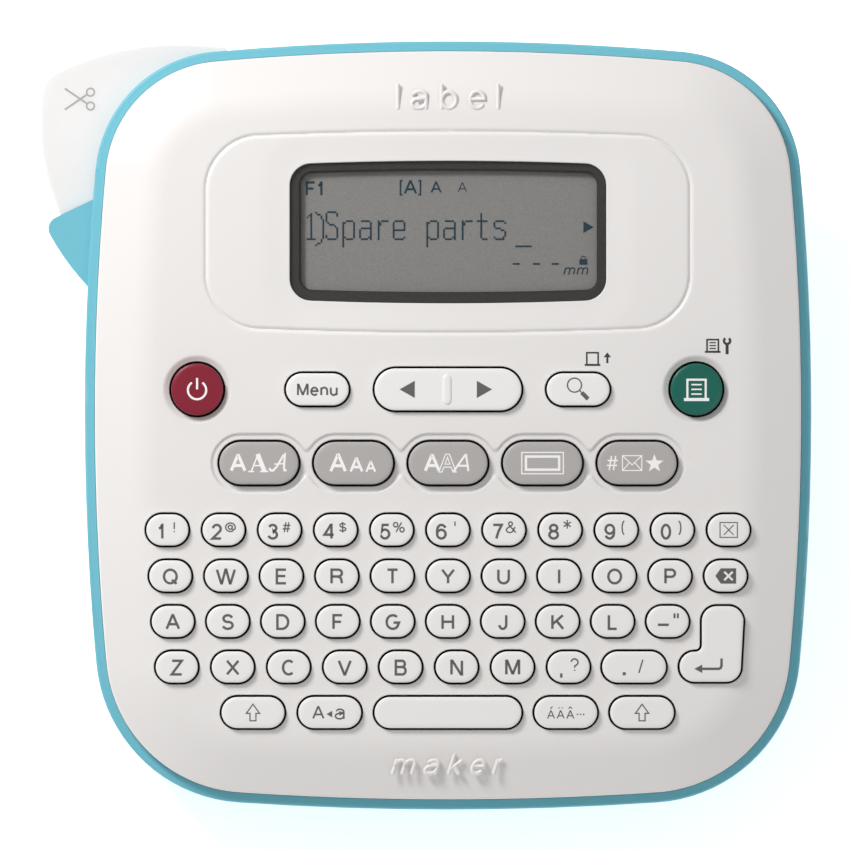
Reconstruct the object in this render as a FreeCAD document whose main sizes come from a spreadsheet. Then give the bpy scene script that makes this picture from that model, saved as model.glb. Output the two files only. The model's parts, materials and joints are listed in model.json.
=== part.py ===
"""Desktop label maker, as a parametric FreeCAD document with one object per sub-part.

The machine is modelled standing on a table: +X to its right, +Y to its back, +Z up,
with the origin under the middle of its bounding box. Its key face is tilted towards
the user, so nearly every sub-part is drawn in a face frame (x right, y up the face,
z out of the face, origin where the machine's centre line meets the face) and placed
with FACE. Every size below is in millimetres or degrees and sits in the sheet.
"""
import FreeCAD, Part
import math
import os
import re
import Sketcher

Vector = FreeCAD.Vector

# ---------------------------------------------------------------- driving dimensions

SIZES = {
    # stance
    "face_tilt": 17.0,
    "face_height": 48.7,
    "axis_shift": 4.8,
    "depth_shift": -2.4,
    # outline of the case, drawn in the face: eight tangent arcs
    "half_width": 73.6,
    "side_radius": 552.0,
    "side_centre": 2.5,
    "top_edge": 77.8,
    "top_radius": 537.0,
    "bottom_edge": 77.9,
    "bottom_radius": 634.0,
    "top_corner": 26.3,
    "bottom_corner": 31.0,
    # levels below the face
    "ledge_level": 5.0,
    "split_level": 24.0,
    "table_gap": 1.0,
    "floor_level": 12.0,
    "floor_thickness": 1.5,
    # top cover
    "case_wall": 2.0,
    "rim_width": 2.1,
    "cover_wall": 2.0,
    "crown_width": 10.0,
    "crown_drop": 2.9,
    "crown_round": 20.0,
    "edge_round": 0.6,
    "skirt_level": 7.5,
    "shoulder_level": 4.6,
    "shoulder_width": 9.6,
    # display
    "display_y": 39.0,
    "groove_length": 97.8,
    "groove_height": 40.4,
    "groove_corner": 10.0,
    "groove_width": 1.0,
    "groove_depth": 0.5,
    "window_length": 64.0,
    "window_height": 28.7,
    "window_corner": 4.0,
    "window_gap": 0.15,
    "window_set_back": 0.3,
    "screen_length": 59.9,
    "screen_height": 24.4,
    "screen_corner": 2.0,
    "bezel_lip": 2.0,
    "bezel_thickness": 1.0,
    "glass_margin": 3.0,
    "glass_thickness": 2.4,
    # keys
    "key_width": 9.3,
    "key_height": 7.1,
    "wide_key_width": 13.5,
    "stop_key_width": 13.7,
    "space_key_width": 30.5,
    "rocker_height": 9.3,
    "menu_key_height": 7.3,
    "function_key_width": 16.8,
    "function_key_height": 9.4,
    "round_key_radius": 5.65,
    "dish_radius": 6.7,
    "dish_depth": 0.7,
    "key_gap": 0.3,
    "key_rise": 1.4,
    "key_round": 0.5,
    "flange_lip": 0.6,
    "flange_level": 2.1,
    "flange_thickness": 1.0,
    "rocker_flange_level": 3.1,
    "plunger_level": 4.5,
    "plunger_inset": 1.5,
    "recess_depth": 0.6,
    "recess_margin": 1.4,
    "recess_neck": 4.9,
    "recess_length": 93.0,
    # return key, an L of two rounded boxes
    "enter_right": 60.1,
    "enter_left": 51.0,
    "enter_foot_left": 46.4,
    "enter_top": -36.2,
    "enter_foot_top": -45.4,
    "enter_bottom": -52.3,
    "enter_corner": 3.4,
    # keypad mat and board
    "mat_level": 9.0,
    "mat_thickness": 0.8,
    "mat_top": 15.0,
    "dome_radius": 2.2,
    "dome_level": 5.4,
    "inner_inset": 9.0,
    "board_thickness": 1.6,
    "board_step": 18.0,
    "board_step_left": 29.0,
    "board_top": 60.0,
    # cutter lever
    "pivot_x": -36.0,
    "pivot_y": 63.0,
    "lever_radius": 47.2,
    "bay_top": 8.2,
    "lever_level": 8.7,
    "lever_plate": 2.0,
    "lever_depth": 4.5,
    "lever_skirt": 2.2,
    "lever_start_angle": 122.5,
    "lever_corner_angle": 170.5,
    "lever_end_angle": 208.5,
    "lever_hub": 7.5,
    "lever_travel": 12.0,
    "lever_clearance": 0.7,
    "pin_radius": 3.0,
    "pin_fit": 0.05,
    # tape guard on the left side
    "guard_radius": 50.9,
    "guard_top": 6.5,
    "guard_bottom": 18.0,
    "guard_start_angle": 205.7,
    "guard_end_angle": 224.5,
    "guard_corner": 2.5,
    "exit_y": 37.0,
    "exit_width": 3.0,
    "exit_top": 18.5,
    "exit_bottom": 32.5,
    # printing mechanism
    "frame_level": 16.0,
    "frame_thickness": 0.8,
    "tape_top": 19.7,
    "tape_width": 12.0,
    "tape_thickness": 0.25,
    "platen_x": -54.5,
    "platen_radius": 4.0,
    "shaft_radius": 1.5,
    "gear_level": 35.0,
    "gear_width": 2.0,
    "gear_module": 0.5,
    "pinion_teeth": 12,
    "idler_teeth": 30,
    "platen_teeth": 20,
    "motor_x": -59.0,
    "motor_y": 13.0,
    "motor_radius": 7.5,
    "motor_length": 16.6,
    "motor_shaft": 0.75,
    "blade_thickness": 0.8,
    "blade_x": -65.6,
    "blade_pivot_y": 42.5,
    "blade_pivot_level": 34.0,
    # tape cassette
    "cassette_left": -48.0,
    "cassette_length": 61.0,
    "cassette_bottom_edge": -2.0,
    "cassette_height": 50.0,
    "cassette_level": 17.2,
    "cassette_depth": 17.0,
    "cassette_wall": 1.2,
    "tape_roll_radius": 17.0,
    "ribbon_roll_radius": 8.0,
    "takeup_roll_radius": 6.5,
    "post_radius": 2.5,
    # batteries
    "cell_radius": 5.25,
    "cell_length": 43.3,
    "cell_nub": 1.2,
    "cell_level": 19.4,
    "cell_pitch": 11.2,
    "cell_rows": 3,
    "cell_first_y": -52.0,
    "cell_inner_x": 1.6,
    "spring_length": 2.4,
    "contact_thickness": 0.5,
    # small hardware
    "boss_radius": 2.4,
    "screw_radius": 1.1,
    "screw_head_radius": 2.2,
    "screw_length": 8.5,
    "jack_face_x": 69.5,
    "jack_y": 40.0,
    "jack_level": 18.5,
    "jack_radius": 4.2,
    "jack_bore": 3.0,
    "jack_pin": 1.0,
    "jack_length": 11.0,
    "hook_y": -73.0,
    "foot_radius": 5.0,
    "foot_x": 50.0,
    "foot_front_y": -50.0,
    "foot_back_y": 56.0,
}

# Keys and key rows: label, shape, first centre x and y, width and height cells,
# how many, and the step along the row.
KEYS = [
    ("power_key", "round", -50.7, 7.2, "round_key_radius", "", 1, 0.0),
    ("menu_key", "capsule", -26.4, 7.2, "wide_key_width", "menu_key_height", 1, 0.0),
    ("cursor_key", "rocker", 0.0, 7.2, "space_key_width", "rocker_height", 1, 0.0),
    ("preview_key", "capsule", 26.3, 7.2, "wide_key_width", "menu_key_height", 1, 0.0),
    ("print_key", "round", 50.2, 7.2, "round_key_radius", "", 1, 0.0),
    ("font_key", "function", -38.2, -7.7, "function_key_width", "function_key_height", 1, 0.0),
    ("size_key", "function", -19.1, -7.7, "function_key_width", "function_key_height", 1, 0.0),
    ("style_key", "function", 0.0, -7.7, "function_key_width", "function_key_height", 1, 0.0),
    ("frame_key", "function", 19.1, -7.7, "function_key_width", "function_key_height", 1, 0.0),
    ("symbol_key", "function", 38.2, -7.7, "function_key_width", "function_key_height", 1, 0.0),
    ("number_keys", "capsule", -56.7, -21.2, "key_width", "key_height", 10, 11.34),
    ("clear_key", "capsule", 56.7, -21.2, "key_width", "key_height", 1, 0.0),
    ("top_letter_keys", "capsule", -56.1, -30.5, "key_width", "key_height", 10, 11.22),
    ("backspace_key", "capsule", 56.1, -30.5, "key_width", "key_height", 1, 0.0),
    ("home_letter_keys", "capsule", -55.6, -39.7, "key_width", "key_height", 10, 11.11),
    ("bottom_letter_keys", "capsule", -54.8, -48.9, "key_width", "key_height", 8, 11.31),
    ("stop_key", "capsule", 37.6, -48.9, "stop_key_width", "key_height", 1, 0.0),
    ("shift_key_left", "capsule", -39.4, -58.1, "wide_key_width", "key_height", 1, 0.0),
    ("caps_key", "capsule", -23.9, -58.1, "wide_key_width", "key_height", 1, 0.0),
    ("space_key", "capsule", 0.0, -58.1, "space_key_width", "key_height", 1, 0.0),
    ("accent_key", "capsule", 23.8, -58.1, "wide_key_width", "key_height", 1, 0.0),
    ("shift_key_right", "capsule", 39.2, -58.1, "stop_key_width", "key_height", 1, 0.0),
]
for label, _, first_x, first_y, _, _, count, step in KEYS:
    SIZES[label + "_x"] = first_x
    SIZES[label + "_y"] = first_y
    if count > 1:
        SIZES[label + "_count"] = count
        SIZES[label + "_step"] = step

# Bosses for the case screws: x and y in the face, all close inside the outline.
BOSSES = [(-34.0, -70.9), (34.0, -70.9), (34.0, 69.0), (-6.0, 70.0)]
for letter, (boss_x, boss_y) in zip("abcd", BOSSES):
    SIZES["boss_%s_x" % letter] = boss_x
    SIZES["boss_%s_y" % letter] = boss_y

# Pillars under the floor that the mechanism plate hangs from: x and y in the face.
PLATE_PILLARS = [(-24.0, 52.0), (5.0, 55.0), (16.0, 20.0), (-30.0, -4.5)]

# The mechanism plate in three blocks: left, right, front and back in the face.
PLATE_BLOCKS = [(-67.5, 18.0, -8.0, 48.0), (-42.0, 18.0, 40.0, 58.0), (-42.0, -16.0, 50.0, 67.0)]

doc = FreeCAD.newDocument("LabelMaker")
sheet = doc.addObject("Spreadsheet::Sheet", "Sizes")
for line, (alias, number) in enumerate(SIZES.items(), start=1):
    sheet.set("A%d" % line, alias)
    sheet.set("B%d" % line, str(number))
    sheet.setAlias("B%d" % line, alias)
doc.recompute()


def bound(text):
    """The expression with each alias in it written as a cell of the sheet."""
    return re.sub(r"[a-z_]+", lambda m: "Sizes." + m[0] if m[0] in SIZES else m[0], text)


def size(text):
    """The number an expression of aliases comes to."""
    return float(sheet.evalExpression(bound(text)))


FACE = FreeCAD.Placement(
    Vector(size("axis_shift"), size("depth_shift"), size("face_height")),
    FreeCAD.Rotation(Vector(1, 0, 0), size("face_tilt")),
)
TILT = math.radians(size("face_tilt"))
TABLE_DOWN = Vector(0, -math.sin(TILT), -math.cos(TILT))
PARTS = []


def keep(feature, label, placement=FACE):
    """Name a finished sub-part, place it and list it for export."""
    feature.Label = label
    feature.Placement = placement
    PARTS.append(feature)
    return feature


# ---------------------------------------------------------------- drawing helpers


def new_body(label):
    """A PartDesign body that may hold several separate solids."""
    body = doc.addObject("PartDesign::Body", label + "_body")
    body.AllowCompound = True
    return body


def origin_feature(body, role):
    return next(f for f in body.Origin.OriginFeatures if f.Role == role)


class Sketch:
    """A sketch on the body's XY plane, at a level given by an expression."""

    def __init__(self, body, level):
        self.body = body
        self.sketch = body.newObject("Sketcher::SketchObject", "Outline")
        self.sketch.AttachmentSupport = [(origin_feature(body, "XY_Plane"), "")]
        self.sketch.MapMode = "FlatFace"
        self.sketch.setExpression("AttachmentOffset.Base.z", bound(level))

    def join(self, first, last):
        """Tangent joints from each element to the next, and back to the first."""
        pairs = [(i, i + 1 if i < last else first) for i in range(first, last + 1)]
        self.sketch.addConstraint([Sketcher.Constraint("Tangent", a, 2, b, 1) for a, b in pairs])

    def measure(self, text, *where):
        """A dimension that follows the sheet."""
        index = self.sketch.addConstraint(Sketcher.Constraint(*where, size(text)))
        self.sketch.setExpression("Constraints[%d]" % index, bound(text))

    def circle(self, x, y, radius):
        centre = Vector(size(x), size(y), 0)
        item = self.sketch.addGeometry(Part.Circle(centre, Vector(0, 0, 1), size(radius)))
        self.measure(radius, "Radius", item)
        self.measure(x, "DistanceX", -1, 1, item, 3)
        self.measure(y, "DistanceY", -1, 1, item, 3)
        return self

    def capsule(self, x, y, width, height):
        """A bar with fully round ends."""
        cx, cy, radius = size(x), size(y), size(height) / 2
        reach = size(width) / 2 - radius
        quarter = math.pi / 2
        right = Part.Circle(Vector(cx + reach, cy, 0), Vector(0, 0, 1), radius)
        left = Part.Circle(Vector(cx - reach, cy, 0), Vector(0, 0, 1), radius)
        first = self.sketch.addGeometry([
            Part.LineSegment(Vector(cx - reach, cy - radius, 0), Vector(cx + reach, cy - radius, 0)),
            Part.ArcOfCircle(right, -quarter, quarter),
            Part.LineSegment(Vector(cx + reach, cy + radius, 0), Vector(cx - reach, cy + radius, 0)),
            Part.ArcOfCircle(left, quarter, 3 * quarter),
        ])[0]
        self.join(first, first + 3)
        self.sketch.addConstraint([
            Sketcher.Constraint("Horizontal", first),
            Sketcher.Constraint("Equal", first + 1, first + 3),
        ])
        self.measure("(%s) / 2" % height, "Radius", first + 1)
        self.measure("(%s) - (%s)" % (width, height), "DistanceX", first + 3, 3, first + 1, 3)
        self.measure("(%s) - ((%s) - (%s)) / 2" % (x, width, height), "DistanceX", -1, 1, first + 3, 3)
        self.measure(y, "DistanceY", -1, 1, first + 3, 3)
        return self

    def box(self, left, bottom, right, top, corner):
        """A rectangle with rounded corners, given by its four sides."""
        x0, y0, x1, y1, radius = (size(e) for e in (left, bottom, right, top, corner))
        quarter = math.pi / 2

        def arc(x, y, start):
            circle = Part.Circle(Vector(x, y, 0), Vector(0, 0, 1), radius)
            return Part.ArcOfCircle(circle, start * quarter, (start + 1) * quarter)

        first = self.sketch.addGeometry([
            Part.LineSegment(Vector(x0 + radius, y0, 0), Vector(x1 - radius, y0, 0)),
            arc(x1 - radius, y0 + radius, -1),
            Part.LineSegment(Vector(x1, y0 + radius, 0), Vector(x1, y1 - radius, 0)),
            arc(x1 - radius, y1 - radius, 0),
            Part.LineSegment(Vector(x1 - radius, y1, 0), Vector(x0 + radius, y1, 0)),
            arc(x0 + radius, y1 - radius, 1),
            Part.LineSegment(Vector(x0, y1 - radius, 0), Vector(x0, y0 + radius, 0)),
            arc(x0 + radius, y0 + radius, 2),
        ])[0]
        self.join(first, first + 7)
        self.sketch.addConstraint(
            [Sketcher.Constraint("Horizontal", first + i) for i in (0, 4)]
            + [Sketcher.Constraint("Vertical", first + i) for i in (2, 6)]
            + [Sketcher.Constraint("Equal", first + 1, first + i) for i in (3, 5, 7)]
        )
        self.measure(corner, "Radius", first + 1)
        self.measure("(%s) + (%s)" % (left, corner), "DistanceX", -1, 1, first + 7, 3)
        self.measure("(%s) + (%s)" % (bottom, corner), "DistanceY", -1, 1, first + 7, 3)
        self.measure("(%s) - (%s)" % (right, corner), "DistanceX", -1, 1, first + 3, 3)
        self.measure("(%s) - (%s)" % (top, corner), "DistanceY", -1, 1, first + 3, 3)
        return self

    def case(self, inset):
        """The outline of the case, moved inwards by an inset."""
        first = self.sketch.addGeometry(case_arcs(size(inset)))[0]
        top, top_right, side_right, low_right = range(first, first + 4)
        bottom, low_left, side_left, top_left = range(first + 4, first + 8)
        arcs = [top, top_left, side_left, low_left, bottom, low_right, side_right, top_right]
        ring = arcs + arcs[:1]
        self.sketch.addConstraint(
            [Sketcher.Constraint("Tangent", a, 2, b, 1) for a, b in zip(ring, ring[1:])]
            + [Sketcher.Constraint("Equal", side_left, side_right)]
            + [Sketcher.Constraint("Equal", top_left, top_right)]
            + [Sketcher.Constraint("Equal", low_left, low_right)]
            + [Sketcher.Constraint("PointOnObject", arc, 3, -2) for arc in (top, bottom)]
        )
        for arc, radius in (
            (side_right, "side_radius"),
            (top, "top_radius"),
            (bottom, "bottom_radius"),
            (top_right, "top_corner"),
            (low_right, "bottom_corner"),
        ):
            self.measure("%s - (%s)" % (radius, inset), "Radius", arc)
        self.measure("top_edge - top_radius", "DistanceY", -1, 1, top, 3)
        self.measure("bottom_radius - bottom_edge", "DistanceY", -1, 1, bottom, 3)
        for arc, way in ((side_right, "half_width - side_radius"), (side_left, "side_radius - half_width")):
            self.measure(way, "DistanceX", -1, 1, arc, 3)
            self.measure("side_centre", "DistanceY", -1, 1, arc, 3)
        return self

    def pad(self, length):
        """Raise the outline out of the face."""
        return self.feature("PartDesign::Pad", length, False)

    def pocket(self, depth):
        """Cut the outline down into the body."""
        return self.feature("PartDesign::Pocket", depth, False)

    def pocket_up(self, depth):
        """Cut the outline up into the body from below."""
        return self.feature("PartDesign::Pocket", depth, True)

    def feature(self, kind, length, turned):
        feature = self.body.newObject(kind, kind.split("::")[1])
        feature.Profile = self.sketch
        feature.setExpression("Length", bound(length))
        feature.Reversed = turned
        return feature


def case_arcs(inset):
    """The eight arcs of the case outline: top, then clockwise round to the top left."""
    half, lift = size("half_width"), size("side_centre")
    side, top, bottom = size("side_radius"), size("top_radius"), size("bottom_radius")
    middles = {
        "side": (half - side, lift, side),
        "top": (0.0, size("top_edge") - top, top),
        "bottom": (0.0, bottom - size("bottom_edge"), bottom),
    }

    def corner_centre(end, radius, sign):
        """Where a corner arc sits so that it touches the side arc and the end arc inside."""
        x1, y1, r1 = middles["side"]
        x2, y2, r2 = middles[end]
        d1, d2 = r1 - radius, r2 - radius
        gap = math.hypot(x2 - x1, y2 - y1)
        along = (d1 * d1 - d2 * d2 + gap * gap) / (2 * gap)
        across = math.sqrt(d1 * d1 - along * along)
        ux, uy = (x2 - x1) / gap, (y2 - y1) / gap
        spots = [(x1 + along * ux - s * across * uy, y1 + along * uy + s * across * ux) for s in (1, -1)]
        return next(spot for spot in spots if spot[0] > 0 and spot[1] * sign > 0)

    def angle_from(middle, spot):
        return math.atan2(spot[1] - middle[1], spot[0] - middle[0])

    high, low = size("top_corner"), size("bottom_corner")
    upper = corner_centre("top", high, 1)
    lower = corner_centre("bottom", low, -1)
    top_turn = angle_from(middles["top"], upper)
    side_top_turn = angle_from(middles["side"], upper)
    side_low_turn = angle_from(middles["side"], lower)
    low_turn = angle_from(middles["bottom"], lower)

    def arc(x, y, radius, start, end):
        return Part.ArcOfCircle(Part.Circle(Vector(x, y, 0), Vector(0, 0, 1), radius - inset), start, end)

    turn = math.pi
    return [
        arc(*middles["top"], top_turn, turn - top_turn),
        arc(*upper, high, side_top_turn, top_turn),
        arc(*middles["side"], side_low_turn, side_top_turn),
        arc(*lower, low, low_turn, side_low_turn),
        arc(*middles["bottom"], -turn - low_turn, low_turn),
        arc(-lower[0], lower[1], low, turn - side_low_turn, turn - low_turn),
        arc(-middles["side"][0], middles["side"][1], side, turn - side_top_turn, turn - side_low_turn),
        arc(-upper[0], upper[1], high, turn - top_turn, turn - side_top_turn),
    ]


def repeat(body, features, count, step):
    """A row of the features along +X; the pattern becomes the body's tip."""
    pattern = body.newObject("PartDesign::LinearPattern", "Row")
    pattern.Originals = features
    pattern.Direction = (origin_feature(body, "X_Axis"), [""])
    pattern.setExpression("Length", bound("(%s) * (%s - 1)" % (step, count)))
    pattern.setExpression("Occurrences", bound(count))
    body.Tip = pattern
    return pattern


def round_edges(body, base, radius, chosen):
    """Fillet the edges of the base feature that the test picks."""
    doc.recompute()
    names = ["Edge%d" % n for n, edge in enumerate(base.Shape.Edges, start=1) if chosen(edge)]
    fillet = body.newObject("PartDesign::Fillet", "Round")
    fillet.Base = (base, names)
    fillet.setExpression("Radius", bound(radius))
    body.Tip = fillet
    return fillet


def at_height(height):
    """A test for edges that lie flat at one height."""
    return lambda edge: abs(edge.BoundBox.ZMin - height) < 1e-4 and abs(edge.BoundBox.ZMax - height) < 1e-4


def part_feature(label, shape, placement=FACE):
    """A sub-part whose shape is made directly; it is refined before it is stored."""
    feature = doc.addObject("Part::Feature", label)
    feature.Shape = shape.removeSplitter()
    return keep(feature, label, placement)


def prism(edges, level, depth):
    """A straight prism from a closed run of edges, from a level down through a depth."""
    wire = Part.Wire([edge.toShape() for edge in edges])
    face = Part.Face(wire)
    face.translate(Vector(0, 0, -level))
    return face.extrude(Vector(0, 0, -depth))


def block(x0, x1, y0, y1, top, bottom):
    """A box between two x, two y and two levels below the face."""
    return Part.makeBox(x1 - x0, y1 - y0, bottom - top, Vector(x0, y0, -bottom))


def rod(x, y, radius, top, bottom):
    """A round bar square to the face, between two levels below it."""
    return Part.makeCylinder(radius, bottom - top, Vector(x, y, -bottom))


def rod_along_x(x0, x1, y, level, radius):
    """A round bar along the face's x direction."""
    return Part.makeCylinder(radius, x1 - x0, Vector(x0, y, -level), Vector(1, 0, 0))


def polar(angle, radius):
    """A point at an angle and distance from the lever's pivot."""
    turn = math.radians(angle)
    return Vector(size("pivot_x") + radius * math.cos(turn), size("pivot_y") + radius * math.sin(turn), 0)


def fan(start, end, inner, outer, level, depth):
    """A sector ring round the lever's pivot."""
    middle = (start + end) / 2
    run = [
        Part.LineSegment(polar(start, inner), polar(start, outer)),
        Part.Arc(polar(start, outer), polar(middle, outer), polar(end, outer)),
        Part.LineSegment(polar(end, outer), polar(end, inner)),
        Part.Arc(polar(end, inner), polar(middle, inner), polar(start, inner)),
    ]
    return prism(run, level, depth)


# ---------------------------------------------------------------- outer case


def case_form(inset, depth, edge_round=0.0):
    """The closed form of the case below the ledge: square to the face, upright at the back."""
    ledge, start = size("ledge_level"), size("side_centre")
    form = prism(case_arcs(inset), ledge, depth)
    if edge_round:
        form = form.makeFillet(edge_round, [e for e in form.Edges if at_height(-ledge)(e)])
    reach, head = 160.0, 6.0
    corners = [(-reach, start), (reach, start), (reach, reach), (-reach, reach), (-reach, start)]
    behind = Part.Face(Part.makePolygon([Vector(x, y, 0) for x, y in corners]))
    outline = Part.Face(Part.Wire([arc.toShape() for arc in case_arcs(inset)]))
    behind = behind.cut(outline)
    behind.translate(Vector(0, 0, -ledge) - TABLE_DOWN * head)
    return form.cut(behind.extrude(TABLE_DOWN * (1.3 * depth + head))).Solids[0]


def below_table(height):
    """Everything lower than a height above the table, seen from the face frame."""
    slab = Part.makeBox(600, 600, 300, Vector(-300, -300, height - 300))
    slab.Placement = FACE.inverse()
    return slab


def lever_bay():
    """The room that the cutter lever sweeps, with its clearance."""
    top = size("bay_top")
    depth = size("lever_depth + 2 * lever_clearance")
    reach = size("lever_radius + lever_clearance")
    start = size("lever_start_angle - 3.5")
    end = size("lever_end_angle + lever_travel + 2")
    bay = fan(start, end, 1.0, reach, top, depth)
    return bay.fuse(rod(size("pivot_x"), size("pivot_y"), size("lever_hub + 1.5"), top, top + depth))


def guard():
    """The spout on the left that covers the end of the lever and the mouth of the tape path."""
    top, bottom = size("guard_top"), size("guard_bottom")
    start, outer, inner = size("guard_start_angle"), size("guard_radius"), 30.0
    ring = fan(start, size("guard_end_angle"), inner, outer, top, bottom - top)
    tip = polar(start, outer)
    upright = [e for e in ring.Edges if e.BoundBox.ZLength > 0.9 * (bottom - top)]
    nearest = min(upright, key=lambda e: math.hypot(e.CenterOfMass.x - tip.x, e.CenterOfMass.y - tip.y))
    ring = ring.makeFillet(size("guard_corner"), [nearest])
    return ring.cut(prism(case_arcs(1.0), 0.0, size("split_level")))


def tape_mouth():
    """The slot through the left wall, from the base into the back cover."""
    half = size("exit_width / 2")
    middle = size("exit_y")
    return block(-90.0, -68.0, middle - half, middle + half, size("exit_top"), size("exit_bottom"))


def make_base_case():
    """Middle shell: ledge, walls, inner floor, guard, lever slot, screw holes and battery bay ends."""
    ledge, split = size("ledge_level"), size("split_level")
    floor, under = size("floor_level"), size("floor_level + floor_thickness")
    outer = case_form(0.0, split - ledge, size("edge_round"))
    inside = case_form(size("case_wall"), split)
    upper = inside.cut(block(-100, 100, -100, 100, floor, 200.0))
    lower = inside.cut(block(-100, 100, -100, 100, 0.0, under))
    rebate = prism(case_arcs(size("case_wall")), 0.0, size("skirt_level") + 0.1)
    shell = outer.cut(upper).cut(lower).cut(rebate)
    shell = shell.fuse(guard())
    shell = shell.cut(lever_bay()).cut(tape_mouth())
    inlet_bore = size("jack_radius - 0.6")
    shell = shell.cut(rod_along_x(66.0, 80.0, size("jack_y"), size("jack_level"), inlet_bore))
    for x, y in BOSSES:
        shell = shell.cut(rod(x, y, size("screw_radius + 0.3"), floor - 1, under + 1))
    frame_top = size("frame_level")
    for x, y in PLATE_PILLARS:
        shell = shell.fuse(rod(x, y, size("boss_radius"), under, frame_top))
    wall_end = size("cell_inner_x + cell_length + cell_nub + spring_length + contact_thickness")
    low, high = size("cell_first_y - cell_radius"), size("cell_first_y + 2 * cell_pitch + cell_radius")
    for side in (-1, 1):
        near, far = sorted((side * wall_end, side * (wall_end + size("case_wall"))))
        shell = shell.fuse(block(near, far, low, high, under, split - 0.2))
    return part_feature("base_case", shell)


def make_back_cover():
    """Wedge tub that the machine stands on, with two front hooks and a rear latch tab."""
    split, wall = size("split_level"), size("case_wall")
    ledge = size("ledge_level")
    reach = 90.0
    above_split = block(-100, 100, -100, 100, -10.0, split)
    outer = case_form(0.0, reach).cut(above_split).cut(below_table(size("table_gap")))
    inside = case_form(wall, reach).cut(below_table(size("table_gap") + wall))
    tub = outer.cut(inside).cut(tape_mouth())
    front = size("hook_y")
    for x in (-40.0, 40.0):
        tub = tub.fuse(block(x - 6, x + 6, front, front + 1.5, split - 3.0, split + 3.0))
    back = size("top_edge - case_wall") - (split + 3.0 - ledge) * math.tan(math.radians(size("face_tilt")))
    tub = tub.fuse(block(-7, 7, back - 2.2, back - 0.7, split - 3.0, split + 3.0))
    tub = tub.fuse(block(-7, 7, back - 2.2, back + 1.2, split + 0.3, split + 3.0))
    return part_feature("back_cover", tub)


# ---------------------------------------------------------------- top cover


def key_profile(sketch, label, shape, width, height, grow):
    """The outline of one key at its place, made larger or smaller all round by an amount."""
    x, y = label + "_x", label + "_y"
    if shape == "round":
        return sketch.circle(x, y, "%s + (%s)" % (width, grow))
    return sketch.capsule(x, y, "%s + 2 * (%s)" % (width, grow), "%s + 2 * (%s)" % (height, grow))


def enter_profiles(body, level, grow):
    """The upright and the foot of the return key, as two outlines."""
    upright = Sketch(body, level).box(
        "enter_left - (%s)" % grow, "enter_bottom - (%s)" % grow,
        "enter_right + (%s)" % grow, "enter_top + (%s)" % grow, "enter_corner + (%s)" % grow,
    )
    foot = Sketch(body, level).box(
        "enter_foot_left - (%s)" % grow, "enter_bottom - (%s)" % grow,
        "enter_right + (%s)" % grow, "enter_foot_top + (%s)" % grow, "enter_corner + (%s)" % grow,
    )
    return upright, foot


def make_top_cover():
    """White cover with a crowned edge, a skirt, screw bosses and all the openings."""
    body = new_body("top_cover")
    Sketch(body, "0 - skirt_level").case("rim_width").pad("skirt_level - crown_drop")
    low = Sketch(body, "0 - crown_drop").case("rim_width")
    high = Sketch(body, "0").case("rim_width + crown_width")
    crown = body.newObject("PartDesign::AdditiveLoft", "Crown")
    crown.Profile = low.sketch
    crown.Sections = [high.sketch]
    crown.Ruled = True
    top_round = round_edges(body, crown, "crown_round", at_height(0.0))
    round_edges(body, top_round, "edge_round", at_height(-size("crown_drop")))
    inner = "rim_width + cover_wall"
    Sketch(body, "0 - skirt_level").case(inner).pocket_up("skirt_level - shoulder_level")
    shoulder = Sketch(body, "0 - shoulder_level").case("shoulder_width")
    shoulder.pocket_up("shoulder_level - cover_wall")
    half, rise = "groove_length / 2", "groove_height / 2"
    ring = Sketch(body, "0")
    for grow in ("0", "0 - groove_width"):
        ring.box(
            "0 - %s - (%s)" % (half, grow), "display_y - %s - (%s)" % (rise, grow),
            "%s + (%s)" % (half, grow), "display_y + %s + (%s)" % (rise, grow),
            "groove_corner + (%s)" % grow,
        )
    ring.pocket("groove_depth")
    Sketch(body, "0").box(
        "0 - window_length / 2 - window_gap", "display_y - window_height / 2 - window_gap",
        "window_length / 2 + window_gap", "display_y + window_height / 2 + window_gap",
        "window_corner + window_gap",
    ).pocket("cover_wall")
    Sketch(body, "0").capsule(
        "style_key_x", "style_key_y", "recess_length", "recess_neck",
    ).pocket("recess_depth")
    for label, shape, _, _, width, height, count, _ in KEYS:
        if shape == "round":
            dish = key_profile(Sketch(body, "0"), label, shape, "dish_radius", height, "0")
            dish.pocket("dish_depth")
        if shape == "function":
            recess = key_profile(Sketch(body, "0"), label, shape, width, height, "recess_margin")
            recess.pocket("recess_depth")
        hole = key_profile(Sketch(body, "0"), label, shape, width, height, "0").pocket("cover_wall")
        if count > 1:
            repeat(body, [hole], label + "_count", label + "_step")
    for profile in enter_profiles(body, "0", "0"):
        profile.pocket("cover_wall")
    bosses = Sketch(body, "0 - floor_level")
    for number, _ in enumerate(BOSSES):
        bosses.circle("boss_%s_x" % "abcd"[number], "boss_%s_y" % "abcd"[number], "boss_radius")
    bosses.pad("floor_level - crown_drop - 0.5")
    pilots = Sketch(body, "0 - floor_level")
    for number, _ in enumerate(BOSSES):
        pilots.circle("boss_%s_x" % "abcd"[number], "boss_%s_y" % "abcd"[number], "screw_radius + 0.05")
    pilots.pocket_up("screw_length - 1")
    keep(body, "top_cover")


# ---------------------------------------------------------------- keys


def finish_key(body, last, label):
    """Round the top edges of a key and list it."""
    round_edges(body, last, "key_round", at_height(size("key_rise")))
    keep(body, label)


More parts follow.
